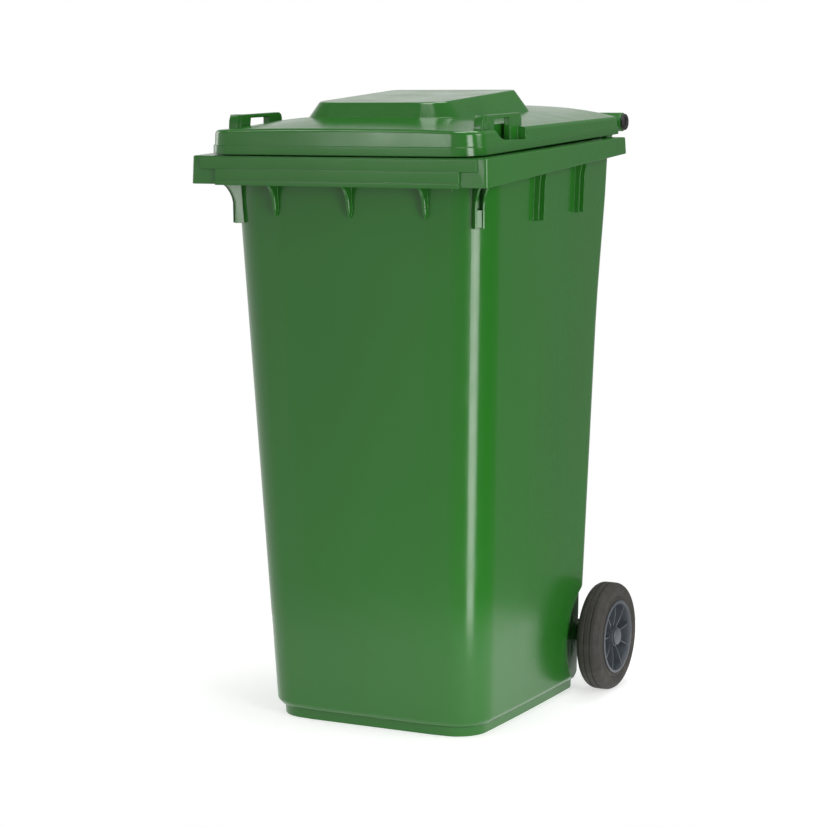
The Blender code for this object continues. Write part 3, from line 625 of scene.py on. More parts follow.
def rim():
    """The ledge and its skirt, hollow from below, with rounded edges."""
    rings = [
        rim_ring(skirt_bottom, SKIRT_EDGE),
        rim_ring(lambda d: skirt_bottom(d) + SKIRT_EDGE, 0.0),
        rim_ring(lambda d: rim_top(d) - LEDGE_EDGE, RIM_DRAFT),
        rim_ring(lambda d: rim_top(d) - LEDGE_EDGE_MIDDLE, RIM_DRAFT + LEDGE_EDGE_MIDDLE),
        rim_ring(rim_top, RIM_DRAFT + LEDGE_EDGE),
    ]
    shape = loft("rim", rings)
    inset = SKIRT_THICKNESS
    pocket = [
        rim_ring(lambda d: skirt_bottom(d) - 0.01, inset),
        rim_ring(lambda d: rim_top(d) - LEDGE_THICKNESS, inset + RIM_DRAFT),
    ]
    return cut(shape, loft("pocket", pocket))


def comb_bands():
    """The stepped bands across the front of the skirt; each lower one stands further out."""
    shapes = []
    behind = RIM_FRONT + 0.002
    for low, high, half, front in COMB_BANDS:
        shapes.append(block("band", (-half, half), (front, behind), (low, high), BAND_EDGE))
    return shapes


def front_fin(x):
    """A fin whose front edge curves forward to the rim and whose foot narrows to a point."""
    wall = WALL_FRONT + 0.002
    half = FIN_THICKNESS / 2
    levels = [(FIN_BOTTOM - 0.004, 0.0035, 0.0006), (FIN_BOTTOM, 0.006, half * 0.55)]
    levels.append((FIN_BOTTOM + 0.006, 0.0085, half * 0.95))
    for i in range(FIN_CURVE_STEPS + 1):
        angle = math.pi / 2 * i / FIN_CURVE_STEPS
        height = FIN_BOTTOM + FIN_CURVE_START + FIN_CURVE_HEIGHT * math.sin(angle)
        levels.append((height, FIN_NECK + FIN_FLARE * (1.0 - math.cos(angle)), half))
    levels.append((under_rim(0.0), FIN_NECK + FIN_FLARE, half))
    rings = []
    for z, reach, thick in levels:
        front = y_at(wall - reach)
        back = y_at(wall + 0.010)
        edge = min(FIN_EDGE, thick * 0.4)
        ring = [(x - thick, back, z), (x - thick, front + edge, z), (x - thick + edge, front, z)]
        ring += [(x + thick - edge, front, z), (x + thick, front + edge, z), (x + thick, back, z)]
        rings.append(ring)
    return loft("fin", rings)


def corner_webs(side):
    """Two parallel webs that stand diagonally out of a front corner, with a bridge between."""
    column = (WALL_HALF_WIDTH - FRONT_CORNER, WALL_FRONT + CREASE_STEP + FRONT_CORNER)
    heading = -math.pi / 4 if side > 0 else -3 * math.pi / 4
    across = Vector((-math.sin(heading), math.cos(heading), 0.0))
    top = under_rim(0.03)
    low = CORNER_WEB_BOTTOM
    start = FRONT_CORNER - 0.012
    curve = [(start + reach, low + rise) for reach, rise in CORNER_WEB_CURVE]
    profile = [(start, low), *curve, (curve[-1][0], top), (start, top)]
    shapes = []
    for spread in (-CORNER_WEB_SPREAD, CORNER_WEB_SPREAD):
        base = (side * column[0] + across.x * spread, column[1] + across.y * spread)
        shapes.append(plate("web", profile, CORNER_WEB_THICKNESS, base, heading, MOULDED_EDGE))
    foot = low + 0.0015
    end, head = start + BRIDGE_REACH, foot + BRIDGE_HEIGHT
    bridge = [(start, foot), (end, foot), (end, head), (start, head)]
    middle = (side * column[0], column[1])
    shapes.append(plate("bridge", bridge, 2 * CORNER_WEB_SPREAD, middle, heading))
    return shapes


def side_ribs(side):
    """Pairs of upright ribs on the side walls, just below the rim."""
    shapes = []
    heading = 0.0 if side > 0 else math.pi
    for front, rear, low in SIDE_RIB_PAIRS:
        wall = WALL_HALF_WIDTH + SIDE_BOW * 0.9
        lean = SIDE_LEAN * (WALL_DATUM - low)
        top = under_rim(front)
        reach = SIDE_RIB_REACH
        flared = reach + SIDE_RIB_FLARE
        profile = [(SIDE_RIB_ROOT, low), (reach - lean, low), (reach, top - 0.055)]
        profile += [(flared, top - 0.028), (flared, top), (SIDE_RIB_ROOT, top)]
        for depth in (front, rear):
            base = (side * wall, depth)
            shapes.append(plate("rib", profile, SIDE_RIB_THICKNESS, base, heading, MOULDED_EDGE))
    return shapes


def handle_lug(low, high):
    """A bracket from the rear rim to the hinge axis."""
    corners = [(HINGE_DEPTH + d, HINGE_HEIGHT + z) for d, z in LUG_PROFILE]
    return prism("lug", corners, low, high)


def handle_tube(side):
    """The handle, bored for the hinge pin."""
    end = TUBE_OUTER_X
    profile = ((TUBE_INNER_X, PIN_BORE), (TUBE_INNER_X, TUBE_RADIUS), (end - 0.0018, TUBE_RADIUS))
    profile += ((end - 0.0005, TUBE_RADIUS - 0.0005), (end, TUBE_RADIUS - 0.0018), (end, PIN_BORE))
    return turned("tube", profile, HINGE, steps=SMALL_ROUND_STEPS, flip=side)


def hinge_ear(side):
    """The round ear that takes the inner end of a hinge pin."""
    low, high = EAR_X
    profile = ((low, PIN_BORE), (low, KNUCKLE_RADIUS), (high, KNUCKLE_RADIUS), (high, PIN_BORE))
    return turned("ear", profile, HINGE, steps=SMALL_ROUND_STEPS, flip=side, soften=0.0012)


def axle_bearer(low, high):
    """A rib across the axle bay that carries the axle in a round boss."""
    boss = rod("boss", HOUSING_RADIUS, low, high, WHEEL_CENTRE, steps=SMALL_ROUND_STEPS)
    return [boss, prism("web", BEARER_WEB, low + MOULDED_EDGE, high - MOULDED_EDGE)]


def make_tub(paint):
    """The whole green tub: its shell, then all that is moulded on, then what is cut away."""
    tub = tub_outside()
    tub.name = tub.data.name = "tub_shell"
    arches = [wheel_arch(side, 0.0) for _, side in SIDES]
    front = wall_outline(0.0, FOOT_INSET)[0][1]
    step_x = (-FOOT_STEP_HALF_WIDTH, FOOT_STEP_HALF_WIDTH)
    step_depth = (front - 0.02, front + FOOT_STEP_DEPTH)
    centre_step = block("foot_step", step_x, step_depth, (-0.01, FOOT_HEIGHT - 0.0015))
    bay = prism("bay", bay_polygon(0.0), -BAY_HALF_WIDTH, BAY_HALF_WIDTH)
    cut(tub, bay, centre_step, *arches)
    added = [rim(), *comb_bands(), *[front_fin(x) for x in FIN_X]]
    for _, side in SIDES:
        added += corner_webs(side) + side_ribs(side) + [hinge_ear(side), handle_tube(side)]
        for low, high in ((EAR_X[0] + 0.0015, EAR_X[1] - 0.0015), *LUG_X):
            added.append(handle_lug(*sorted((side * low, side * high))))
        added += axle_bearer(*sorted((side * (BAY_HALF_WIDTH - 0.002), side * HOUSING_END_X)))
        rib = side * BAY_RIB_X
        added += axle_bearer(rib - BAY_RIB_THICKNESS / 2, rib + BAY_RIB_THICKNESS / 2)
    nest = (NEST_X, y_at(NEST_DEPTH), 0.0)
    nest_top = under_rim(NEST_DEPTH)
    added.append(rod("nest", NEST_RADIUS + NEST_WALL, NEST_BOTTOM, nest_top, nest, axis="Z"))
    join(tub, *added)
    ledge = rim_top(NEST_DEPTH) - LEDGE_THICKNESS
    nest_bore = rod("nest_bore", NEST_RADIUS, NEST_BOTTOM - 0.01, ledge, nest, axis="Z")
    reach = AXLE_BORE_HALF_LENGTH
    axle_bore = rod("axle_bore", AXLE_BORE, -reach, reach, WHEEL_CENTRE)
    cut(tub, tub_inside(), nest_bore, axle_bore)
    return finish(tub, paint, "bin", "tub_green", "tub")


# ---------------- lid


def lid_crown(x, depth):
    """How far the top of the lid stands above the straight line of its side edges."""
    across = max(0.0, 1.0 - abs(x / (LID_HALF_WIDTH - LID_EDGE_WIDTH)) ** 3)
    t = (depth - LID_FRONT - LID_EDGE_WIDTH) / (RAMP_END - LID_FRONT - LID_EDGE_WIDTH)
    t = min(1.0, max(0.0, t))
    return LID_CROWN * across * (LID_FRONT_CROWN + (1.0 - LID_FRONT_CROWN) * t)


def lid_surface(x, depth, drop=0.0):
    """A point on the lid's crowned top, or lower by drop."""
    return (x, y_at(depth), LID_TOP + LID_TOP_RISE * depth + lid_crown(x, depth) - drop)


def lid_outline(inset):
    corners = (max(0.004, LID_FRONT_CORNER - inset), max(0.003, LID_REAR_CORNER - inset))
    front, rear = LID_FRONT + inset, LID_REAR - inset
    return outline(LID_HALF_WIDTH - inset, front, rear, corners, steps=(16, 8))


def lid_points(inset):
    """The same number of outline points at any inset, so that rings match."""
    ring = lid_outline(inset)
    base = lid_outline(0.0)
    dense = []
    for i, here in enumerate(ring):
        after = (i + 1) % len(ring)
        following = ring[after]
        span = math.hypot(base[after][0] - base[i][0], base[after][1] - base[i][1])
        parts = max(1, math.ceil(span / LID_POINT_GAP))
        for k in range(parts):
            t = k / parts
            x = here[0] + (following[0] - here[0]) * t
            dense.append((x, here[1] + (following[1] - here[1]) * t))
    return dense


def lid_form(inset, drop, bottom_extra):
    """The lid as a solid block. The inside of the shell is the same block, inset and lower."""

    def low_ring(extra, rise):
        points = lid_points(inset + extra)
        return [(x, y_at(d), LID_BOTTOM + LID_BOTTOM_RISE * d + rise) for x, d in points]

    step = LID_STEP_HEIGHT
    if bottom_extra:
        step -= 0.001
        rings = [low_ring(0.0, -bottom_extra), low_ring(0.0, step), low_ring(0.002, step + 0.0006)]
    else:
        rings = [low_ring(LID_LOWER_EDGE, 0.0), low_ring(0.0, LID_LOWER_EDGE)]
        rings += [low_ring(extra, step + rise) for extra, rise in LID_STEP_EDGE]
    for k in range(LID_ROUND_STEPS + 1):
        angle = math.pi / 2 * k / LID_ROUND_STEPS
        points = lid_points(inset + (LID_UPPER_INSET + LID_UPPER_ROUND * (1 - math.cos(angle))))
        below = drop + LID_UPPER_ROUND * (1 - math.sin(angle))
        rings.append([lid_surface(x, d, below) for x, d in points])
    edge = lid_points(inset + LID_EDGE_WIDTH)
    middle = (LID_FRONT + LID_REAR) / 2
    for k in range(1, LID_TOP_RINGS):
        scale = 1.0 - k / LID_TOP_RINGS
        rings.append([lid_surface(x * scale, middle + (d - middle) * scale, drop) for x, d in edge])
    return loft("lid_form", rings, fan_last=True)


def dome_form(inset, drop):
    """The raised dome as a block with sloping sides and rounded upper edges."""

    def ring(extra, below):
        corners = (DOME_CORNERS[0] - min(0.0, extra), DOME_CORNERS[1] - min(0.0, extra))
        front, rear = DOME_FRONT + extra, DOME_REAR - extra
        shape = outline(DOME_HALF_WIDTH - extra, front, rear, corners, steps=(14, 8))
        return [(x, y_at(d), DOME_TOP + DOME_RISE * (d - DOME_FRONT) - below) for x, d in shape]

    skirt = DOME_SKIRT + drop
    rings = [ring(inset - DOME_FLARE * DOME_SKIRT, skirt)]
    rings += [ring(inset + extra, below + drop) for extra, below in DOME_EDGE]
    return loft("dome_form", rings)


def grip_top(depth):
    return GRIP_TOP + GRIP_RISE * depth


def grip(side):
    """A loop grip: a solid front part with two ribs, a bar over the finger hole, and a rear post."""
    near, far = sorted(side * x for x in GRIP_X)
    hole_front, hole_rear = GRIP_HOLE
    base = SCOOP_LOW - 0.001
    front_top, rear_top = grip_top(GRIP_FRONT), grip_top(GRIP_REAR)
    bar = [(GRIP_FRONT + 0.006, front_top - 0.016), (GRIP_FRONT + 0.008, front_top - 0.006)]
    bar += [(GRIP_FRONT + 0.014, front_top), (GRIP_REAR - 0.010, rear_top)]
    bar += [(GRIP_REAR - 0.003, rear_top - 0.003), (GRIP_REAR, rear_top - 0.010), (GRIP_REAR, base)]
    bar += [(hole_rear, base), (hole_rear, grip_top(hole_rear) - GRIP_BAR)]
    bar += [(hole_front, grip_top(hole_front) - GRIP_BAR), (hole_front - 0.006, base)]
    bar.append((GRIP_FRONT + 0.002, base))
    shapes = [prism("grip_bar", bar, near, far, GRIP_EDGE)]
    proud = GRIP_RIB_PROUD
    rib_near, rib_far = sorted((side * (GRIP_X[0] - proud), side * (GRIP_X[1] + proud)))
    for depth in GRIP_RIB_DEPTHS:
        top = grip_top(depth)
        rib = [(depth, base), (depth + 0.003, top - 0.010), (depth + 0.008, top + 0.001)]
        rib += [(depth + 0.012, top - 0.002), (depth + 0.009, base)]
        shapes.append(prism("grip_rib", rib, rib_near, rib_far, GRIP_RIB_EDGE))
    return shapes


def scoop(side, grow):
    """The finger hollow below a grip bar. Its front end is dished and its rear end is steep."""
    low = SCOOP_LOW - grow
    front, deepest = SCOOP_FRONT - grow, GRIP_HOLE[0] + 0.012
    rear = GRIP_REAR - 0.012 + grow
    corners = [(rear - 0.006, low), (rear, SCOOP_TOP), (front, SCOOP_TOP)]
    for i in range(SCOOP_STEPS):
        angle = math.pi / 2 * i / SCOOP_STEPS
        height = low + SCOOP_DISH * (1.0 - math.sin(angle))
        corners.append((deepest - (deepest - front) * math.cos(angle), height))
    corners.append((deepest, low))
    near, far = sorted((side * (SCOOP_X - grow), side * SCOOP_OUT))
    return prism("scoop", corners, near, far)


def knuckle(side):
    """The lid's hinge eye on its arm."""
    near, far = sorted(side * x for x in KNUCKLE_X)
    corners = [(HINGE_DEPTH + d, HINGE_HEIGHT + z) for d, z in ARM_PROFILE]
    arm = prism("arm", corners, near + ARM_CLEARANCE, far - ARM_CLEARANCE)
    return [arm, rod("eye", KNUCKLE_RADIUS, near, far, HINGE, steps=SMALL_ROUND_STEPS)]


def make_lid(paint):
    """The whole green lid: its shell with the dome, the grips and the knuckles."""
    lid = lid_form(0.0, 0.0, 0.0)
    lid.name = lid.data.name = "lid_shell"
    inside = lid_form(LID_WALL, LID_WALL, LID_INSIDE_DROP)
    join(inside, dome_form(LID_WALL, LID_WALL))
    cut(lid, *[scoop(side, 0.0) for _, side in SIDES])
    cut(inside, *[scoop(side, LID_WALL) for _, side in SIDES])
    added = [dome_form(0.0, 0.0)]
    bores = []
    for _, side in SIDES:
        added += grip(side) + knuckle(side)
        near, far = sorted((side * (KNUCKLE_X[0] - 0.005), side * (KNUCKLE_X[1] + 0.005)))
        bores.append(rod("eye_bore", PIN_BORE, near, far, HINGE))
    join(lid, *added)
    cut(lid, inside, *bores)
    return finish(lid, paint, "lid", "lid_green", "lid")


# ---------------- wheels


def blade(angle, side):
    """One straight blade, from the hub to the barrel. Its outer edge dips towards the hub."""
    out = Vector((math.cos(angle), math.sin(angle)))
    across = Vector((-out.y, out.x)) * BLADE_THICKNESS / 2
    start, end = BLADE_SPAN
    profile = [(start, BLADE_INNER), (end, BLADE_INNER)]
    for i in range(BLADE_STEPS + 1):
        t = 1.0 - i / BLADE_STEPS
        profile.append((start + (end - start) * t, BLADE_OUTER - BLADE_DIP * (1.0 - t) ** 2))
    rings = []
    for offset in (-across, across):
        ring = []
        for radius, along in profile:
            spot = out * radius + offset
            x = side * (WHEEL_MIDDLE_X + along)
            ring.append((x, WHEEL_CENTRE.y + spot.x, WHEEL_CENTRE.z + spot.y))
        rings.append(ring)
    return loft("blade", rings, soften=BLADE_EDGE)


def wheel_turned(name, profile, side, soften):
    """A body of revolution on the axle. The profile is measured outwards from the wheel's middle."""
    placed = [(WHEEL_MIDDLE_X + along, radius) for along, radius in profile]
    return turned(name, placed, WHEEL_CENTRE, steps=WHEEL_STEPS, flip=side, soften=soften)


def make_wheel_rim(side_name, side, paint):
    """The grey wheel: hub, nine blades and barrel, with the bore for the lock pin."""
    wheel = wheel_turned(f"wheel_{side_name}_hub", HUB_PROFILE, side, 0.0012)
    blades = [blade(BLADE_FIRST + math.tau * i / BLADE_COUNT, side) for i in range(BLADE_COUNT)]
    lock = (side * LOCK_X, WHEEL_CENTRE.y, 0.0)
    chimney = rod("chimney", CHIMNEY_RADIUS, WHEEL_CENTRE.z + CHIMNEY_FOOT, LOCK_TOP, lock, axis="Z")
    join(wheel, chimney, *blades)
    foot, head = WHEEL_CENTRE.z + PIN_TIP_FOOT, LOCK_TOP + 0.01
    bore = [(foot, 0.0), (foot, PIN_TIP_BORE), (LOCK_SEAT, PIN_TIP_BORE)]
    bore += [(LOCK_SEAT, SPRING_BORE), (head, SPRING_BORE), (head, 0.0)]
    cut(wheel, turned("lock_bore", bore, lock, steps=24, axis="Z"))
    return finish(wheel, paint, f"wheel_{side_name}", "wheel_grey", f"wheel_rim_{side_name}")


def make_tyre(side_name, side, paint):
    """The tyre: its outer sidewall, a tread with two grooves, and its inner sidewall."""
    tread = [*TYRE_GROOVE, *[(-along, radius) for along, radius in reversed(TYRE_GROOVE)]]
    inner = [(-along, radius) for along, radius in reversed(TYRE_SIDEWALL[3:])]
    profile = [*TYRE_SIDEWALL, *tread, *inner, *TYRE_INNER_FOOT]
    tyre = wheel_turned(f"tyre_{side_name}_tread", profile, side, MOULDED_EDGE)
    return finish(tyre, paint, f"wheel_{side_name}", "tyre_rubber", f"tyre_{side_name}")


def make_hub_cap(side_name, side, paint):
    """The round cap over the end of the axle."""
    seat = WHEEL_MIDDLE_X + HUB_OUTER + CAP_GAP
    profile = [(seat + along, radius) for along, radius in CAP_PROFILE]
    name = f"hub_cap_{side_name}_face"
    cap = turned(name, profile, WHEEL_CENTRE, steps=64, flip=side, soften=0.0008)
    return finish(cap, paint, f"wheel_{side_name}", "wheel_grey", f"hub_cap_{side_name}")


# ---------------- materials


SCUFF_STRENGTH = 0.08
SCUFF_MATTNESS = 0.4
GREEN = (0.017, 0.130, 0.013)
BLACK = (0.010, 0.010, 0.011)
WHEEL_GREY = (0.062, 0.072, 0.084)
# The dust colour also makes the painted highlight on the tyre's edges.
RUBBER = (0.024, 0.022, 0.019)
RUBBER_DUST_AND_SHEEN = (0.058, 0.052, 0.042)
STEEL = (0.60, 0.60, 0.62)


class Nodes:
    """A short way to write the node tree of a material or a world."""

    def __init__(self, owner, shader, coords):
        owner.use_nodes = True
        self.tree = owner.node_tree
        self.shader = self.tree.nodes[shader]
        self.coords = self.add("ShaderNodeTexCoord")[coords]

    def feed(self, node, inputs):
        """Gives each input, by its name or number, a plain value or another node's output."""
        for key, value in inputs.items():
            socket = node.inputs[key]
            if isinstance(value, bpy.types.NodeSocket):
                self.tree.links.new(value, socket)
            elif socket.type == "RGBA":
                socket.default_value = (*value, 1.0)
            else:
                socket.default_value = value

    def shade(self, inputs):
        """Feeds the tree's own shader."""
        self.feed(self.shader, inputs)

    def add(self, kind, inputs=None, **settings):
        """The outputs of a new node, with the inputs and settings given."""
        node = self.tree.nodes.new(kind)
        for key, value in settings.items():
            setattr(node, key, value)
        self.feed(node, inputs or {})
        return node.outputs

    def stretched(self, scale):
        """The coordinates scaled by (x, y, z)."""
        return self.add("ShaderNodeMapping", {"Vector": self.coords, "Scale": scale})["Vector"]

    def noise(self, scale, detail=3.0, roughness=0.5, vector=None):
        """Noise of about 0 to 1 over the coordinates, or over the vector given."""
        inputs = {"Vector": vector or self.coords, "Scale": scale, "Detail": detail}
        return self.add("ShaderNodeTexNoise", {**inputs, "Roughness": roughness})["Fac"]

    def ramp(self, value, low, high, to_low=0.0, to_high=1.0):
        """The value, going from low to high, turned into one that goes from to_low to to_high."""
        ends = {"From Min": low, "From Max": high, "To Min": to_low, "To Max": to_high}
        return self.add("ShaderNodeMapRange", {"Value": value, **ends})["Result"]

    def wander(self, noise, to_low, to_high):
        """A value that wanders between two others with the noise."""
        return self.ramp(noise, 0.3, 0.7, to_low, to_high)

    def mix(self, factor, first, second):
        """Mixes two colours."""
        return self.add("ShaderNodeMix", {"Factor": factor, 6: first, 7: second}, data_type="RGBA")[2]

    def blend(self, factor, first, second):
        """Mixes two numbers."""
        return self.add("ShaderNodeMix", {"Factor": factor, "A": first, "B": second})["Result"]

    def maths(self, operation, first, second):
        """Adds or multiplies two numbers."""
        return self.add("ShaderNodeMath", {0: first, 1: second}, operation=operation)[0]

    def dot(self, first, second):
        """The dot product of two vectors."""
        return self.add("ShaderNodeVectorMath", {0: first, 1: second}, operation="DOT_PRODUCT")["Value"]

    def rounded(self, radius):
        """A normal that runs round sharp edges, as a mould's small fillets do."""
        return self.add("ShaderNodeBevel", {"Radius": radius}, samples=4)["Normal"]

    def edges(self, radius):
        """1 on sharp edges and 0 on flat surfaces."""
        plain = self.add("ShaderNodeNewGeometry")["Normal"]
        return self.ramp(self.dot(self.rounded(radius), plain), low=0.97, high=0.75)

    def bump(self, height, distance, strength, normal):
        """A relief of that height over another normal."""
        inputs = {"Height": height, "Distance": distance, "Strength": strength, "Normal": normal}
        return self.add("ShaderNodeBump", inputs)["Normal"]


def new_material(name):
    material = bpy.data.materials.new(name)
    return material, Nodes(material, "Principled BSDF", "Object")


def tinted(colour, gain, lift=0.0):
    """The colour made stronger or weaker and then lifted, up to white."""
    return tuple(min(1.0, c * gain + lift) for c in colour)


def green_plastic(name, colour, roughness):
    """Moulded polyethylene: faint flow marks, a fine pebble, scuffs, and edges painted paler, partly wear
    and partly a painted highlight.
    """
    material, n = new_material(name)
    flow = n.noise(scale=2.2, detail=3.0, roughness=0.55, vector=n.stretched((1.0, 1.0, 0.35)))
    clouds = n.ramp(flow, low=0.35, high=0.65)
    cloudy = n.mix(clouds, tinted(colour, 0.955), tinted(colour, 1.045))
    scratches = n.ramp(n.noise(scale=38.0, detail=6.0, roughness=0.75), low=0.62, high=0.80)
    scuffs = n.maths("MULTIPLY", scratches, SCUFF_STRENGTH)
    scuffed = n.mix(scuffs, cloudy, tinted(colour, 1.25, 0.010))
    patches = n.ramp(n.noise(scale=60.0, detail=4.0), low=0.40, high=0.62, to_low=0.05, to_high=0.40)
    # The sharp edges are painted paler in patches: partly wear, partly a painted highlight along the
    # fillets.
    edge_wear_and_highlight = n.maths("MULTIPLY", n.edges(radius=0.0010), patches)
    pale = n.mix(edge_wear_and_highlight, scuffed, tinted(colour, 1.7, 0.03))
    mottle = n.noise(scale=14.0, detail=5.0, roughness=0.6)
    gloss = n.wander(mottle, roughness - 0.035, roughness + 0.045)
    matt = n.maths("ADD", gloss, n.maths("MULTIPLY", scuffs, SCUFF_MATTNESS))
    fillets = n.rounded(radius=0.0016)
    pebble = n.bump(n.noise(scale=900.0, detail=2.0), distance=0.00012, strength=0.35, normal=fillets)
    swell = n.noise(scale=9.0, detail=2.0, roughness=0.4, vector=n.stretched((1.0, 1.0, 0.45)))
    waves = n.bump(swell, distance=0.0011, strength=0.5, normal=pebble)
    n.shade({"Base Color": pale, "Roughness": matt, "Normal": waves, "IOR": 1.50})
    return material


def dark_plastic(name, colour, roughness, edge_highlight_gain):
    """Matt moulded plastic with a fine grain, faint dust, and edges painted lighter, partly wear and partly
    a painted highlight.
    """
    material, n = new_material(name)
    dust = n.ramp(n.noise(scale=45.0, detail=6.0, roughness=0.7), low=0.45, high=0.75, to_high=0.35)
    dusty = n.mix(dust, colour, tinted(colour, 1.5, 0.012))
    # Every sharp edge is painted lighter by the same amount: a painted highlight, partly wear.
    edge_wear_and_highlight = n.maths("MULTIPLY", n.edges(radius=0.0007), 0.55)
    pale = n.mix(edge_wear_and_highlight, dusty, tinted(colour, edge_highlight_gain, 0.02))
    matt = n.wander(n.noise(scale=120.0, detail=3.0), roughness - 0.06, roughness + 0.08)
    fillets = n.rounded(radius=0.0006)
    grain = n.bump(n.noise(scale=1400.0, detail=2.0), distance=0.0001, strength=0.4, normal=fillets)
    n.shade({"Base Color": pale, "Roughness": matt, "Normal": grain})
    return material


def rubber(name, colour, dust_and_sheen_colour):
    """Solid rubber: matt, dusty in patches, with edges painted paler (partly wear, partly a painted
    highlight) and a coarse and a fine grain.
    """
    material, n = new_material(name)
    patches = n.noise(scale=22.0, detail=8.0, roughness=0.72)
    grime = n.mix(n.ramp(patches, low=0.38, high=0.70, to_high=0.75), colour, dust_and_sheen_colour)
    specks = n.noise(scale=420.0, detail=4.0, roughness=0.8)
    speckles = n.ramp(specks, low=0.60, high=0.76, to_high=0.5)
    speckled = n.mix(speckles, grime, tinted(dust_and_sheen_colour, 1.8))
    # Every sharp edge is painted paler: partly wear, partly a painted highlight.
    edge_wear_and_highlight = n.maths("MULTIPLY", n.edges(radius=0.0009), 0.45)
    pale = n.mix(edge_wear_and_highlight, speckled, tinted(dust_and_sheen_colour, 2.4))
    matt = n.wander(n.noise(scale=70.0, detail=4.0), 0.58, 0.80)
    fillets = n.rounded(radius=0.0008)
    fine = n.noise(scale=700.0, detail=5.0, roughness=0.65)
    grain = n.bump(fine, distance=0.0003, strength=0.7, normal=fillets)
    pits = n.noise(scale=60.0, detail=5.0, roughness=0.6)
    coarse = n.bump(pits, distance=0.0006, strength=0.5, normal=grain)
    n.shade({"Base Color": pale, "Roughness": matt, "Normal": coarse})
    return material


def zinc(name, colour):
    """Zinc-plated steel: mottled, with faint turning lines."""
    material, n = new_material(name)
    spots = n.ramp(n.noise(scale=85.0, detail=4.0, roughness=0.6), low=0.35, high=0.65)
    mottled = n.mix(spots, tinted(colour, 0.8), colour)
    matt = n.wander(n.noise(scale=160.0, detail=5.0), 0.28, 0.46)
    turning = n.noise(scale=900.0, detail=2.0, roughness=0.5, vector=n.stretched((1.0, 0.08, 0.08)))
    lines = n.bump(turning, distance=0.0001, strength=0.5, normal=n.rounded(radius=0.0004))
    n.shade({"Base Color": mottled, "Roughness": matt, "Normal": lines, "Metallic": 1.0})
    return material


# ---------------- build

tub_paint = green_plastic("tub_polyethylene", GREEN, roughness=0.21)
lid_paint = green_plastic("lid_polyethylene", GREEN, roughness=0.17)
# The edge gain sets how light the painted edge highlight is.
black_paint = dark_plastic("black_plastic_grain", BLACK, roughness=0.42, edge_highlight_gain=3.0)
grey_paint = dark_plastic("wheel_grey_plastic", WHEEL_GREY, roughness=0.36, edge_highlight_gain=3.2)
rubber_paint = rubber("dusty_rubber", RUBBER, RUBBER_DUST_AND_SHEEN)
zinc_paint = zinc("zinc_plating", STEEL)

make_tub(tub_paint)
make_lid(lid_paint)
for side_name, side in SIDES:
    make_wheel_rim(side_name, side, grey_paint)
    make_tyre(side_name, side, rubber_paint)
    make_hub_cap(side_name, side, grey_paint)

# CAD nodes whose shape is kept, and the material of each
KEPT = {"chip_nest_plug": tub_paint, "axle": zinc_paint}
for side_name, _ in SIDES:
    for part in ("hinge_pin", "axle_spacer", "lock_cover"):
        KEPT[f"{part}_{side_name}"] = black_paint
    for part in ("axle_washer", "lock_pin", "lock_spring"):
        KEPT[f"{part}_{side_name}"] = zinc_paint
for name, paint in KEPT.items():
    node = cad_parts[name]
    node.data.materials.clear()
    node.data.materials.append(paint)

# ---------------- stage, lights and camera

WHITE = (1.0, 1.0, 1.0)
FLOOR_GREY = (0.60, 0.60, 0.60)
FLOOR_GLOW = 0.58
FLOOR_RADIUS = 0.85
BRIGHT_SIDE = (-0.90, -0.05, 0.43)
DARK_LEVEL = 0.0
BRIGHT_LEVEL = 1.05
UPPER_LEVEL = 0.30
UPPER_FROM = 0.45
SIDES_UP_TO = 0.20

LOWER = (0.0, 0.0, 0.42)
MIDDLE = (0.0, 0.0, 0.60)
UPPER = (0.0, 0.0, 0.95)
# name, azimuth, elevation, distance, (width, height), power, point aimed at
SOFTBOXES = (
    ("side_strip", 56, 2, 2.3, (0.75, 2.2), 42, LOWER),
    ("side_fill", 97, 24, 3.0, (1.2, 1.2), 22, MIDDLE),
    ("top_fill", 20, 82, 3.0, (1.2, 1.2), 34, MIDDLE),
    ("back_fill", 170, 66, 3.0, (1.0, 1.0), 22, MIDDLE),
    ("back_left", 265, 20, 3.0, (1.0, 1.4), 12, MIDDLE),
    ("glint_left", -22, 9, 3.4, (0.35, 0.6), 5, UPPER),
    ("top_left", -39, 44, 3.2, (0.7, 0.7), 10, UPPER),
)

CAMERA_PLACE = (1.9959, -3.9875, 1.107)
CAMERA_TILT = 90 - 7.226
CAMERA_TURN = 26.882
CAMERA_LENS = 106.16
SENSOR_WIDTH = 36.0


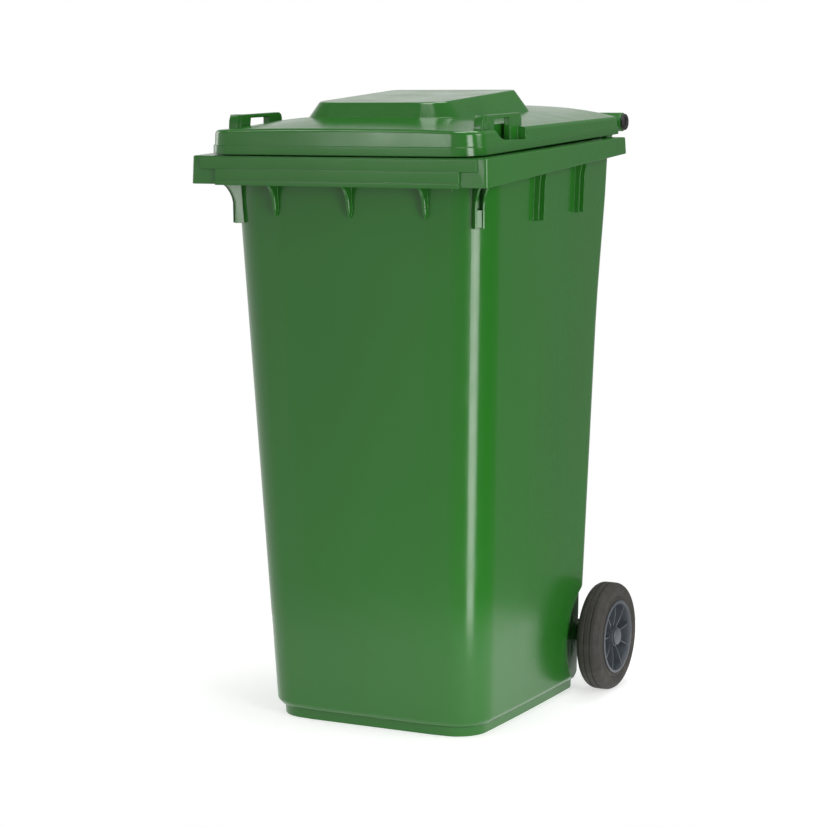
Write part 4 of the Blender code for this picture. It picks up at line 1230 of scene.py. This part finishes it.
def make_floor():
    """A small pale disc under the wheels. It glows, so that it takes only a soft shadow."""
    mesh = bpy.data.meshes.new("floor")
    shape = bmesh.new()
    bmesh.ops.create_circle(shape, cap_ends=True, segments=96, radius=FLOOR_RADIUS)
    shape.to_mesh(mesh)
    shape.free()
    floor = bpy.data.objects.new("floor", mesh)
    bpy.context.scene.collection.objects.link(floor)
    material, n = new_material("pale_floor")
    matt = n.wander(n.noise(scale=3.0), 0.80, 0.86)
    n.shade({"Base Color": FLOOR_GREY, "Roughness": matt})
    n.shade({"Emission Color": WHITE, "Emission Strength": FLOOR_GLOW})
    floor.data.materials.append(material)


def softbox(name, azimuth, elevation, distance, size, power, target):
    """An area light. Azimuth 0 is straight in front of the container and 90 is towards +X."""
    data = bpy.data.lights.new(name, "AREA")
    data.shape = "RECTANGLE"
    data.size, data.size_y = size
    data.energy = power
    light = bpy.data.objects.new(name, data)
    bpy.context.scene.collection.objects.link(light)
    turn, rise = math.radians(azimuth), math.radians(elevation)
    level = math.cos(rise)
    out = Vector((math.sin(turn) * level, -math.cos(turn) * level, math.sin(rise)))
    light.location = Vector(target) + out * distance
    light.rotation_euler = out.to_track_quat("Z", "Y").to_euler()


def make_world():
    """Surroundings that the camera sees as plain white.

    As light they go from dark to bright towards BRIGHT_SIDE, and from a direction's height of
    SIDES_UP_TO to UPPER_FROM they pass into an even grey overhead.
    """
    world = bpy.data.worlds.new("studio")
    bpy.context.scene.world = world
    n = Nodes(world, "Background", "Generated")
    facing = n.dot(n.coords, BRIGHT_SIDE)
    beside = n.ramp(facing, low=-1.0, high=1.0, to_low=DARK_LEVEL, to_high=BRIGHT_LEVEL)
    height = n.add("ShaderNodeSeparateXYZ", {0: n.coords})["Z"]
    light = n.blend(n.ramp(height, low=UPPER_FROM, high=SIDES_UP_TO), UPPER_LEVEL, beside)
    seen = n.add("ShaderNodeLightPath")["Is Camera Ray"]
    n.shade({"Color": WHITE, "Strength": n.blend(seen, light, 1.0)})
    bpy.context.scene.view_settings.view_transform = "Standard"


def make_camera():
    data = bpy.data.cameras.new("camera")
    data.sensor_width = SENSOR_WIDTH
    data.lens = CAMERA_LENS
    data.clip_end = 100.0
    camera = bpy.data.objects.new("camera", data)
    bpy.context.scene.collection.objects.link(camera)
    camera.location = CAMERA_PLACE
    camera.rotation_euler = (math.radians(CAMERA_TILT), 0.0, math.radians(CAMERA_TURN))
    bpy.context.scene.camera = camera


make_floor()
make_world()
for settings in SOFTBOXES:
    softbox(*settings)
make_camera()
